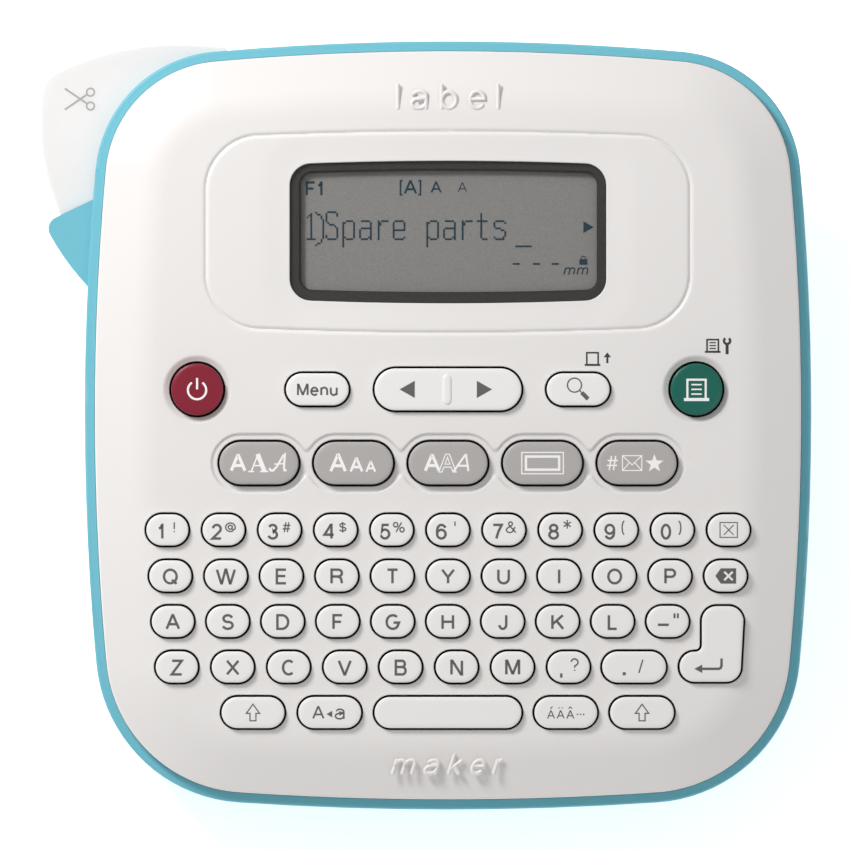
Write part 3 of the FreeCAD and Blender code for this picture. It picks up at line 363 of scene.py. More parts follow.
def rounded_box(x: float, y: float, width: float, height: float, corner: float, bow: float = 0.0,
                steps: int = 10, runs: int = 0) -> Outline:
    """A rectangle with round corners; bow swells its long sides.

    Args:
        x: Centre, to the right.
        y: Centre, up the face.
        width: Full width at the corners.
        height: Full height at the corners.
        corner: Corner radius.
        bow: How far the middle of each long side swells.
        steps: Steps in each corner.
        runs: Extra points along each long side, which a bow needs.

    Returns:
        The outline.
    """
    a, b, quarter = width / 2 - corner, height / 2 - corner, TAU / 4
    arcs = []
    for number, (sx, sy) in enumerate(((1, -1), (1, 1), (-1, 1), (-1, -1))):
        arcs.append(Arc(x + sx * a, y + sy * b, corner, (number - 1) * quarter, number * quarter, steps))
        if runs and number in (1, 3):
            side = number * quarter
            for step in range(1, runs):
                along = x + sx * a * (1 - 2 * step / runs)
                arcs.append(Arc(along, y + sy * b, corner, side, side, 0))
    return Outline(tuple(arcs), bow, (width / 2, height / 2), (x, y))


@dataclass(frozen=True)
class CaseShape:
    """The outline of the case in the face: eight arcs that touch."""

    half_width: float = 73.6
    side_radius: float = 552.0
    side_centre: float = 2.5
    top_edge: float = 77.8
    top_radius: float = 537.0
    bottom_edge: float = 77.9
    bottom_radius: float = 634.0
    top_corner: float = 26.3
    bottom_corner: float = 31.0

    def corner(self, end: tuple[float, float, float], radius: float, sign: int) -> Spot:
        """Centre of the corner arc that touches the right side and one end from inside."""
        x1, y1, r1 = self.half_width - self.side_radius, self.side_centre, self.side_radius
        x2, y2, r2 = end
        d1, d2, gap = r1 - radius, r2 - radius, math.hypot(x2 - x1, y2 - y1)
        along = (d1 * d1 - d2 * d2 + gap * gap) / (2 * gap)
        across = math.sqrt(d1 * d1 - along * along)
        ux, uy = (x2 - x1) / gap, (y2 - y1) / gap
        spots = [(x1 + along * ux - s * across * uy, y1 + along * uy + s * across * ux) for s in (1, -1)]
        return next(spot for spot in spots if spot[0] > 0 and spot[1] * sign > 0)

    def outline(self) -> Outline:
        """The eight arcs, anticlockwise from the lower right corner."""
        top = (0.0, self.top_edge - self.top_radius, self.top_radius)
        bottom = (0.0, self.bottom_radius - self.bottom_edge, self.bottom_radius)
        side = (self.half_width - self.side_radius, self.side_centre)
        upper, lower = self.corner(top, self.top_corner, 1), self.corner(bottom, self.bottom_corner, -1)

        def angle(middle: Sequence[float], spot: Spot) -> float:
            """Direction from an arc's centre to a point."""
            return math.atan2(spot[1] - middle[1], spot[0] - middle[0])

        t_top, t_up = angle(top, upper), angle(side, upper)
        t_low, t_end = angle(side, lower), angle(bottom, lower)
        half = TAU / 2
        return Outline((
            Arc(*lower, self.bottom_corner, t_end, t_low, 30),
            Arc(*side, self.side_radius, t_low, t_up, 60),
            Arc(*upper, self.top_corner, t_up, t_top, 30),
            Arc(top[0], top[1], top[2], t_top, half - t_top, 60),
            Arc(-upper[0], upper[1], self.top_corner, half - t_top, half - t_up, 30),
            Arc(-side[0], side[1], self.side_radius, half - t_up, half - t_low, 60),
            Arc(-lower[0], lower[1], self.bottom_corner, half - t_low, half - t_end, 30),
            Arc(bottom[0], bottom[1], bottom[2], -half - t_end, t_end, 60),
        ))

    def inset(self, points: np.ndarray) -> np.ndarray:
        """Measure how far inside the outline points lie.

        Args:
            points: Points in the plane.

        Returns:
            A distance for each point, negative outside.
        """
        depth = np.full(len(points), np.inf)
        for arc in self.outline().arcs:
            away = points - (arc.x, arc.y)
            turn = np.arctan2(away[:, 1], away[:, 0])
            middle, half = (arc.start + arc.end) / 2, abs(arc.end - arc.start) / 2
            off = np.abs((turn - middle + math.pi) % TAU - math.pi)
            depth = np.where(off <= half + 1e-3, np.minimum(depth, arc.radius - np.hypot(*away.T)), depth)
        return depth


def box_distance(points: np.ndarray, x: float, y: float, width: float, height: float,
                 corner: float) -> np.ndarray:
    """Signed distance from a rounded box.

    Args:
        points: Points in the plane.
        x: Centre of the box, to the right.
        y: Centre of the box, up the face.
        width: Full width.
        height: Full height.
        corner: Corner radius.

    Returns:
        A distance for each point, negative inside the box.
    """
    away = np.abs(points - (x, y)) - (width / 2 - corner, height / 2 - corner)
    return np.hypot(*np.maximum(away, 0.0).T) + np.minimum(away.max(1), 0.0) - corner


def inside(points: np.ndarray, polygon: np.ndarray) -> np.ndarray:
    """Which points lie inside a polygon.

    Args:
        points: Points in the plane.
        polygon: Its corners in order.

    Returns:
        A true or false for each point.
    """
    found = np.zeros(len(points), bool)
    low, high = polygon.min(0), polygon.max(0)
    near = np.flatnonzero(((points >= low) & (points <= high)).all(1))
    if not len(near):
        return found
    x, y = points[near, 0][:, None], points[near, 1][:, None]
    a, b = polygon, np.roll(polygon, -1, axis=0)
    crosses = (a[:, 1] > y) != (b[:, 1] > y)
    rise = np.where(np.abs(b[:, 1] - a[:, 1]) < 1e-12, 1e-12, b[:, 1] - a[:, 1])
    left = x < (b[:, 0] - a[:, 0]) * (y - a[:, 1]) / rise + a[:, 0]
    found[near] = (crosses & left).sum(1) % 2 == 1
    return found


def blend_step(value: np.ndarray, low: float, high: float) -> np.ndarray:
    """A soft step from 0 at low to 1 at high."""
    share = np.clip((value - low) / (high - low), 0.0, 1.0)
    return share * share * (3 - 2 * share)


# ---- finishes


def linear(hex_colour: str) -> tuple[float, float, float, float]:
    """An sRGB hex colour as linear red, green, blue and alpha."""
    parts = [int(hex_colour.lstrip("#")[i:i + 2], 16) / 255 for i in (0, 2, 4)]
    red, green, blue = (c / 12.92 if c <= 0.04045 else ((c + 0.055) / 1.055) ** 2.4 for c in parts)
    return red, green, blue, 1.0


def add_node(tree: bpy.types.NodeTree, kind: str, settings: Optional[dict] = None,
             links: Optional[dict] = None) -> bpy.types.Node:
    """Add a node, set it up and link its inputs.

    Args:
        tree: Where it goes.
        kind: Type of the node.
        settings: Values of its sockets, by name or number, or of its own properties after a dot.
        links: Output sockets that feed its inputs, by input name or number.

    Returns:
        The new node.
    """
    node = tree.nodes.new(kind)
    for key, value in (settings or {}).items():
        if isinstance(key, str) and key.startswith("."):
            setattr(node, key[1:], value)
        else:
            node.inputs[key].default_value = value
    for key, output in (links or {}).items():
        tree.links.new(output, node.inputs[key])
    return node


@dataclass(frozen=True)
class Finish:
    """A surface: a colour that drifts a little, a fine grain in gloss and in relief."""

    name: str
    colour: str
    roughness: float = 0.45
    metallic: float = 0.0
    ior: float = 1.5
    grain: float = 0.5
    relief: float = 0.006
    drift: float = 0.03
    drift_size: float = 25.0
    coat: float = 0.0
    alpha: float = 1.0
    subsurface: float = 0.0
    depth: float = 2.0
    glow: float = 0.0
    stretch: tuple[float, float, float] = (1.0, 1.0, 1.0)

    def colour_socket(self, tree: bpy.types.NodeTree, place: bpy.types.NodeSocket) -> bpy.types.NodeSocket:
        """The base colour: the plain one, slightly lighter and darker in soft patches."""
        base = linear(self.colour)
        dark = tuple(c * (1 - self.drift) for c in base[:3]) + (1.0,)
        light = tuple(min(1.0, c * (1 + self.drift)) for c in base[:3]) + (1.0,)
        cloud = add_node(tree, "ShaderNodeTexNoise", {"Scale": 1 / (self.drift_size * MM), "Detail": 3.0},
                         {"Vector": place})
        return add_node(tree, "ShaderNodeMix", {".data_type": "RGBA", 6: dark, 7: light},
                        {0: cloud.outputs[0]}).outputs[2]

    def material(self) -> bpy.types.Material:
        """The material, made once under its name.

        Returns:
            The material.
        """
        known = bpy.data.materials.get(self.name)
        if known:
            return known
        made = bpy.data.materials.new(self.name)
        made.use_nodes = True
        tree = made.node_tree
        tree.nodes.clear()
        place = add_node(tree, "ShaderNodeTexCoord").outputs["Object"]
        drawn = add_node(tree, "ShaderNodeMapping", {"Scale": self.stretch}, {"Vector": place}).outputs[0]
        colour = self.colour_socket(tree, place)
        grain = add_node(tree, "ShaderNodeTexNoise", {"Scale": 1 / (self.grain * MM), "Detail": 2.0},
                         {"Vector": drawn}).outputs[0]
        gloss = add_node(tree, "ShaderNodeMapRange",
                         {3: max(0.02, self.roughness - 0.06), 4: min(1.0, self.roughness + 0.06)},
                         {0: grain}).outputs[0]
        bump = add_node(tree, "ShaderNodeBump", {"Strength": 0.6, "Distance": self.relief * MM},
                        {"Height": grain}).outputs[0]
        shader = add_node(tree, "ShaderNodeBsdfPrincipled",
                          {"Metallic": self.metallic, "IOR": self.ior, "Coat Weight": self.coat,
                           "Alpha": self.alpha, "Subsurface Weight": self.subsurface,
                           "Subsurface Scale": self.depth * MM, "Subsurface Radius": (1.0, 0.95, 0.9),
                           "Emission Color": linear(self.colour), "Emission Strength": self.glow},
                          {"Base Color": colour, "Roughness": gloss, "Normal": bump})
        add_node(tree, "ShaderNodeOutputMaterial", {}, {"Surface": shader.outputs[0]})
        return made


@dataclass(frozen=True)
class CircuitFinish(Finish):
    """Green solder mask over copper tracks: paler thin cells where copper lies under it."""

    track: str = "#3f8a4c"
    pitch: float = 3.0

    def colour_socket(self, tree: bpy.types.NodeTree, place: bpy.types.NodeSocket) -> bpy.types.NodeSocket:
        """The mask colour with tracks along the edges of square cells."""
        cells = add_node(tree, "ShaderNodeTexVoronoi",
                         {".feature": "DISTANCE_TO_EDGE", "Scale": 1 / (self.pitch * MM)}, {"Vector": place})
        edge = add_node(tree, "ShaderNodeMapRange", {1: 0.05, 2: 0.09, 3: 1.0, 4: 0.0}, {0: cells.outputs[0]})
        return add_node(tree, "ShaderNodeMix",
                        {".data_type": "RGBA", 6: linear(self.colour), 7: linear(self.track)},
                        {0: edge.outputs[0]}).outputs[2]


@dataclass(frozen=True)
class BandFinish(Finish):
    """A printed sleeve: bands of a second colour along the row frame's x."""

    band: str = "#b9c0c4"
    pitch: float = 18.0

    def colour_socket(self, tree: bpy.types.NodeTree, place: bpy.types.NodeSocket) -> bpy.types.NodeSocket:
        """The sleeve colour with its bands."""
        wave = add_node(tree, "ShaderNodeTexWave",
                        {".bands_direction": "X", "Scale": 1 / (3.2 * self.pitch * MM)}, {"Vector": place})
        edge = add_node(tree, "ShaderNodeMapRange", {1: 0.70, 2: 0.74}, {0: wave.outputs[1]})
        return add_node(tree, "ShaderNodeMix",
                        {".data_type": "RGBA", 6: linear(self.colour), 7: linear(self.band)},
                        {0: edge.outputs[0]}).outputs[2]


class Finishes(Enum):
    """Every finish of the machine, by the slot it fills or the part it is on."""

    # Injection moulded ABS with a fine spark texture: soft, even white with no clear reflection.
    # The grain is drawn about twice as coarse as the real 0.15 mm so that it shows.
    COVER = Finish("abs_white_spark_textured", "#e9e6e4", 0.42, grain=0.32, relief=0.010, drift=0.012,
                   drift_size=40, subsurface=0.04, depth=0.8)
    # The same ABS dyed turquoise; its rim is a little glossier where the mould was polished.
    CASE = Finish("abs_turquoise_moulded", "#6fbbcc", 0.46, ior=1.38, grain=0.32, relief=0.008, drift=0.02)
    # Key caps are smoother than the cover and a touch whiter, with a satin sheen on their edges.
    KEY_WHITE = Finish("abs_white_satin_keycap", "#efedeb", 0.30, grain=0.4, relief=0.003, drift=0.01)
    KEY_GREY = Finish("abs_grey_satin_keycap", "#b1adab", 0.34, grain=0.4, relief=0.003, drift=0.015)
    KEY_BURGUNDY = Finish("abs_burgundy_satin_keycap", "#85132d", 0.32, grain=0.4, relief=0.003, drift=0.03)
    KEY_GREEN = Finish("abs_green_satin_keycap", "#006052", 0.32, grain=0.4, relief=0.003, drift=0.03)
    # Key stems are black; the same black lines the lower walls of the key openings as painted shade, so each
    # key's gap reads black.
    STEM_AND_GAP_SHADE = Finish("abs_black_key_stem_and_gap_shade", "#0b0a0a", 0.7, grain=0.5, relief=0.004, drift=0.05)
    # Pad printed legends: flat, dry ink.
    INK_GREY = Finish("pad_print_ink_grey", "#605c5b", 0.6, grain=0.3, relief=0.002, drift=0.03)
    INK_WHITE = Finish("pad_print_ink_white", "#f7f5f4", 0.55, grain=0.3, relief=0.002, drift=0.01)
    INK_DARK = Finish("pad_print_ink_dark", "#3a3432", 0.6, grain=0.3, relief=0.002, drift=0.03)
    INK_PALE = Finish("pad_print_ink_pale_grey", "#aaa6a6", 0.6, grain=0.3, relief=0.002, drift=0.03)
    # Screen frame printed behind the pane: dark warm grey, nearly matte.
    BEZEL = Finish("pmma_back_printed_frame", "#393534", 0.42, grain=0.5, relief=0.002, drift=0.03)
    # Hard coated acrylic: clear, only its reflections show.
    PANE = Finish("pmma_clear_polished", "#141414", 0.06, grain=2.0, relief=0.0005, drift=0.0, alpha=0.05)
    # Liquid crystal glass under a matte polariser: grey with a silvery grain.
    SCREEN = Finish("lcd_glass_matte_polariser", "#8f8d8a", 0.38, grain=0.28, relief=0.004, drift=0.30,
                    drift_size=0.30)
    # Switched segments of the display: dark blue, flat, as glossy as the glass over them.
    SEGMENT = Finish("lcd_dark_segment", "#1d3b4b", 0.42, grain=0.3, relief=0.001, drift=0.03)
    # Milky polypropylene: light enters it and glows at its rim.
    LEVER = Finish("polypropylene_milky_translucent", "#e8e5e4", 0.30, grain=0.6, relief=0.003, drift=0.01,
                   subsurface=0.3, depth=4.0)
    # Moulded silicone rubber: mid grey and dull, with no edge to its highlights.
    SILICONE = Finish("silicone_keypad_moulded", "#5b5d61", 0.75, grain=0.6, relief=0.006, drift=0.05)
    # Glass cloth board under green solder mask: satin, with paler lines where tracks run.
    BOARD = CircuitFinish("fr4_green_solder_mask", "#1c5a2b", 0.35, grain=0.6, relief=0.004)
    # Black moulded ABS inside the case: satin, with the mould's fine grain.
    TRAY = Finish("abs_black_tray_moulded", "#262628", 0.5, grain=0.5, relief=0.006, drift=0.05)
    # Undyed moulded acetal: cream, waxy, a little light goes into it.
    GEAR = Finish("acetal_natural_gear", "#e0ddd2", 0.38, ior=1.48, grain=0.5, relief=0.003, subsurface=0.1)
    # Zinc plated sheet with the rolling direction showing as fine lines.
    STEEL = Finish("steel_zinc_plated_rolled", "#a2a3a5", 0.38, metallic=1.0, grain=0.5, relief=0.004,
                   stretch=(0.08, 1.0, 1.0))
    # Hardened and ground steel: bright, with grinding lines across it.
    BLADE = Finish("steel_hardened_ground", "#b9bcc0", 0.22, metallic=1.0, grain=0.25, relief=0.003,
                   stretch=(1.0, 0.06, 1.0))
    # Deep drawn motor can: bright, with faint lines along the way it was drawn.
    CAN = Finish("steel_motor_can_drawn", "#a9a9aa", 0.32, metallic=1.0, grain=0.5, relief=0.003,
                 stretch=(1.0, 1.0, 0.1))
    # Ground rubber roller: black and dull, with a slight tooth.
    PLATEN = Finish("rubber_platen_ground", "#1d1d1f", 0.8, grain=0.25, relief=0.008, drift=0.05)
    # Laminated label tape: white under a clear, glossy film.
    TAPE = Finish("laminated_tape_gloss", "#f3f2f0", 0.22, grain=1.2, relief=0.002, drift=0.01)
    # Wound ink film: black and glossy, with the edges of its turns as fine lines.
    RIBBON = Finish("ribbon_film_black_gloss", "#111114", 0.25, grain=0.8, relief=0.003, drift=0.05,
                    stretch=(1.0, 1.0, 0.1))
    # Printed shrink sleeve on the cells: dark and glossy, with a pale band.
    BATTERY = BandFinish("battery_sleeve_printed", "#2c3440", 0.3, grain=0.8, relief=0.002)
    # Nickel plated spring steel: warm and bright.
    CONTACT = Finish("spring_steel_nickel_plated", "#c2bfb6", 0.25, metallic=1.0, grain=0.4, relief=0.002)
    # Moulded rubber: dark grey and dull.
    FOOT = Finish("rubber_foot_moulded", "#3a3a3c", 0.85, grain=0.5, relief=0.008, drift=0.06)
    # A paper sweep lit from behind, so that it stays white and takes only a faint shadow.
    FLOOR = Finish("paper_sweep_white_backlit", "#fbfbfb", 0.9, grain=4.0, relief=0.0, drift=0.0, glow=0.62)

    def material(self) -> bpy.types.Material:
        """The finish's material."""
        return self.value.material()


# ---- legends


class Slant(Enum):
    """How a letter leans."""

    UPRIGHT = 0.0
    ITALIC = 0.25


def sweep(x: float, y: float, across: float, up: float, start: float, end: float,
          steps: int = 12) -> list[Spot]:
    """Points along part of an ellipse, with its angles in degrees."""
    turns = [math.radians(start + (end - start) * i / steps) for i in range(steps + 1)]
    return [(x + across * math.cos(t), y + up * math.sin(t)) for t in turns]


@dataclass(frozen=True)
class Glyph:
    """A sign in a box one unit high and wide: the box's width and the strokes in it."""

    width: float
    lines: tuple


BOWL = sweep(0.5, 0.35, 0.5, 0.35, 0, 360, 20)
GLYPHS: dict[str, Glyph] = {
    " ": Glyph(0.35, ()),
    "A": Glyph(0.92, ([(0, 0), (0.47, 1), (0.53, 1), (1, 0)], [(0.17, 0.34), (0.83, 0.34)])),
    "B": Glyph(0.76, ([(0.5, 0.54), (0, 0.54), (0, 0), *sweep(0.66, 0.27, 0.34, 0.27, -90, 90), (0.5, 0.54)],
                      [(0, 0.5), (0, 1), *sweep(0.64, 0.77, 0.28, 0.23, 90, -90)])),
    "C": Glyph(0.86, (sweep(0.5, 0.5, 0.5, 0.5, 48, 312, 20),)),
    "D": Glyph(0.82, ([(0, 0), (0, 1), *sweep(0.42, 0.5, 0.58, 0.5, 90, -90, 16), (0, 0)],)),
    "E": Glyph(0.72, ([(1, 1), (0, 1), (0, 0), (1, 0)], [(0, 0.53), (0.93, 0.53)])),
    "F": Glyph(0.68, ([(1, 1), (0, 1), (0, 0)], [(0, 0.52), (0.88, 0.52)])),
    "G": Glyph(0.92, ([*sweep(0.5, 0.5, 0.5, 0.5, 48, 318, 20), (1, 0.46), (0.56, 0.46)],)),
    "H": Glyph(0.8, ([(0, 0), (0, 1)], [(1, 0), (1, 1)], [(0, 0.52), (1, 0.52)])),
    "I": Glyph(0.0, ([(0, 0), (0, 1)],)),
    "J": Glyph(0.58, ([(1, 1), *sweep(0.5, 0.3, 0.5, 0.3, 0, -175)],)),
    "K": Glyph(0.82, ([(0, 0), (0, 1)], [(0.97, 1), (0, 0.33)], [(0.37, 0.6), (1, 0)])),
    "L": Glyph(0.64, ([(0, 1), (0, 0), (1, 0)],)),
    "M": Glyph(0.94, ([(0, 0), (0, 1), (0.07, 1), (0.47, 0.08), (0.53, 0.08), (0.93, 1), (1, 1), (1, 0)],)),
    "N": Glyph(0.8, ([(0, 0), (0, 1), (0.09, 1), (0.91, 0), (1, 0), (1, 1)],)),
    "O": Glyph(0.94, (sweep(0.5, 0.5, 0.5, 0.5, 0, 360, 28),)),
    "P": Glyph(0.74, ([(0, 0), (0, 1), *sweep(0.62, 0.74, 0.38, 0.26, 90, -90), (0, 0.48)],)),
    "Q": Glyph(0.94, (sweep(0.5, 0.5, 0.5, 0.5, 0, 360, 28), [(0.62, 0.26), (1.0, -0.04)])),
    "R": Glyph(0.82, ([(0, 0), (0, 1), *sweep(0.62, 0.75, 0.34, 0.25, 90, -90), (0, 0.5)],
                      [(0.52, 0.5), *sweep(0.6, 0.25, 0.3, 0.22, 75, 10, 5), (0.97, 0)])),
    "S": Glyph(0.76, ([*sweep(0.5, 0.75, 0.44, 0.25, 15, 262), *sweep(0.5, 0.26, 0.5, 0.26, 82, -165)],)),
    "T": Glyph(0.78, ([(0, 1), (1, 1)], [(0.5, 1), (0.5, 0)])),
    "U": Glyph(0.8, ([(0, 1), *sweep(0.5, 0.36, 0.5, 0.36, 180, 360), (1, 1)],)),
    "V": Glyph(0.88, ([(0, 1), (0.47, 0), (0.53, 0), (1, 1)],)),
    "W": Glyph(1.26, ([(0, 1), (0.235, 0), (0.275, 0), (0.48, 1), (0.52, 1), (0.725, 0), (0.765, 0),
                       (1, 1)],)),
    "X": Glyph(0.86, ([(0, 0), (1, 1)], [(0, 1), (1, 0)])),
    "Y": Glyph(0.88, ([(0, 1), (0.5, 0.44), (1, 1)], [(0.5, 0.46), (0.5, 0)])),
    "Z": Glyph(0.78, ([(0.04, 1), (1, 1), (0, 0), (1, 0)],)),
    "0": Glyph(0.66, (sweep(0.5, 0.5, 0.5, 0.5, 0, 360, 24),)),
    "1": Glyph(0.36, ([(0, 0.72), (0.5, 0.8), (0.95, 1), (1, 1), (1, 0)],)),
    "2": Glyph(0.68, ([*sweep(0.5, 0.71, 0.46, 0.29, 172, -38), (0, 0), (1, 0)],)),
    "3": Glyph(0.68, ([*sweep(0.47, 0.77, 0.43, 0.23, 160, -90), *sweep(0.47, 0.27, 0.5, 0.27, 90, -165)],)),
    "4": Glyph(0.72, ([(0.76, 0), (0.76, 1), (0.69, 1), (0, 0.28), (1, 0.28)],)),
    "5": Glyph(0.68, ([(0.92, 1), (0.2, 1), (0.08, 0.5), *sweep(0.47, 0.33, 0.5, 0.33, 130, -165)],)),
    "6": Glyph(0.68, (sweep(0.5, 0.32, 0.5, 0.32, 0, 360, 20),
                      [(0, 0.34), *sweep(0.52, 0.58, 0.52, 0.42, 175, 30)])),
    "7": Glyph(0.68, ([(0, 1), (1, 1), (0.6, 0.5), (0.36, 0)],)),
    "8": Glyph(0.68, (sweep(0.5, 0.77, 0.42, 0.23, 0, 360, 20), sweep(0.5, 0.27, 0.5, 0.27, 0, 360, 20))),
    "9": Glyph(0.68, (sweep(0.5, 0.68, 0.5, 0.32, 0, 360, 20),
                      [(1, 0.66), *sweep(0.48, 0.42, 0.52, 0.42, -5, -150)])),
    "!": Glyph(0.0, ([(0, 1), (0, 0.3)], [(0, 0.12), (0, 0)])),
    "#": Glyph(0.8, ([(0.22, 0), (0.42, 1)], [(0.6, 0), (0.8, 1)], [(0, 0.34), (0.93, 0.34)],
                     [(0.07, 0.68), (1, 0.68)])),
    "$": Glyph(0.72, ([*sweep(0.5, 0.7, 0.42, 0.2, 15, 262), *sweep(0.5, 0.3, 0.48, 0.2, 82, -165)],
                      [(0.5, 1.05), (0.5, -0.05)])),
    "%": Glyph(1.1, (sweep(0.2, 0.76, 0.2, 0.24, 0, 360), sweep(0.8, 0.24, 0.2, 0.24, 0, 360),
                     [(0.25, 0), (0.75, 1)])),
    "&": Glyph(0.9, ([(1, 0), (0.3, 0.68), *sweep(0.44, 0.82, 0.2, 0.18, 190, -40), (0.12, 0.42),
                      *sweep(0.36, 0.24, 0.36, 0.24, 150, 330), (0.92, 0.52)],)),
    "*": Glyph(0.6, ([(0.5, 1), (0.5, 0.4)], [(0.06, 0.86), (0.94, 0.54)], [(0.94, 0.86), (0.06, 0.54)])),
    "(": Glyph(0.3, (sweep(1.0, 0.45, 1.0, 0.6, 100, 260),)),
    ")": Glyph(0.3, (sweep(0.0, 0.45, 1.0, 0.6, 80, -80),)),
    "@": Glyph(1.1, ([*sweep(0.5, 0.5, 0.5, 0.5, -50, -360, 24), *sweep(0.83, 0.42, 0.17, 0.2, 0, -150, 6)],
                     sweep(0.48, 0.5, 0.2, 0.24, 0, 360, 14), [(0.72, 0.72), (0.66, 0.3)])),
    "'": Glyph(0.0, ([(0, 1), (0, 0.62)],)),
    '"': Glyph(0.36, ([(0, 1), (0, 0.62)], [(1, 1), (1, 0.62)])),
    "?": Glyph(0.66, ([*sweep(0.5, 0.72, 0.46, 0.28, 175, -40), (0.52, 0.4), (0.5, 0.26)],
                      [(0.5, 0.1), (0.5, 0)])),
    ",": Glyph(0.1, ([(0.6, 0.1), (0.6, -0.08), (0, -0.22)],)),
    "[": Glyph(0.26, ([(1, 1), (0, 1), (0, -0.06), (1, -0.06)],)),
    "]": Glyph(0.26, ([(0, 1), (1, 1), (1, -0.06), (0, -0.06)],)),
    "a": Glyph(0.74, ([(0.08, 0.62), *sweep(0.48, 0.5, 0.42, 0.22, 150, 0), (0.9, 0)],
                      [(0.9, 0.44), (0.4, 0.4), *sweep(0.4, 0.2, 0.4, 0.2, 90, 270),
                       *sweep(0.5, 0.26, 0.4, 0.26, -90, -5, 5)])),
    "b": Glyph(0.68, ([(0, 1), (0, 0)], BOWL)),
    "e": Glyph(0.68, ([(0.02, 0.38), (1, 0.38), *sweep(0.5, 0.36, 0.5, 0.36, 8, 320, 18)],)),
    "k": Glyph(0.62, ([(0, 0), (0, 1)], [(0.94, 0.7), (0, 0.22)], [(0.36, 0.4), (1, 0)])),
    "l": Glyph(0.0, ([(0, 0), (0, 1)],)),
    "m": Glyph(1.04, ([(0, 0), (0, 0.72)], [(0, 0.4), *sweep(0.25, 0.46, 0.25, 0.26, 180, 0), (0.5, 0)],
                      [(0.5, 0.4), *sweep(0.75, 0.46, 0.25, 0.26, 180, 0), (1, 0)])),
    "n": Glyph(0.64, ([(0, 0), (0, 0.72)], [(0, 0.4), *sweep(0.5, 0.42, 0.5, 0.3, 175, 0), (1, 0)])),
    "r": Glyph(0.36, ([(0, 0), (0, 0.72)], [(0, 0.36), *sweep(1.0, 0.36, 1.0, 0.36, 180, 90, 8)])),
    "u": Glyph(0.64, ([(0, 0.72), *sweep(0.5, 0.3, 0.5, 0.3, 180, 355)], [(1, 0.72), (1, 0)])),
}


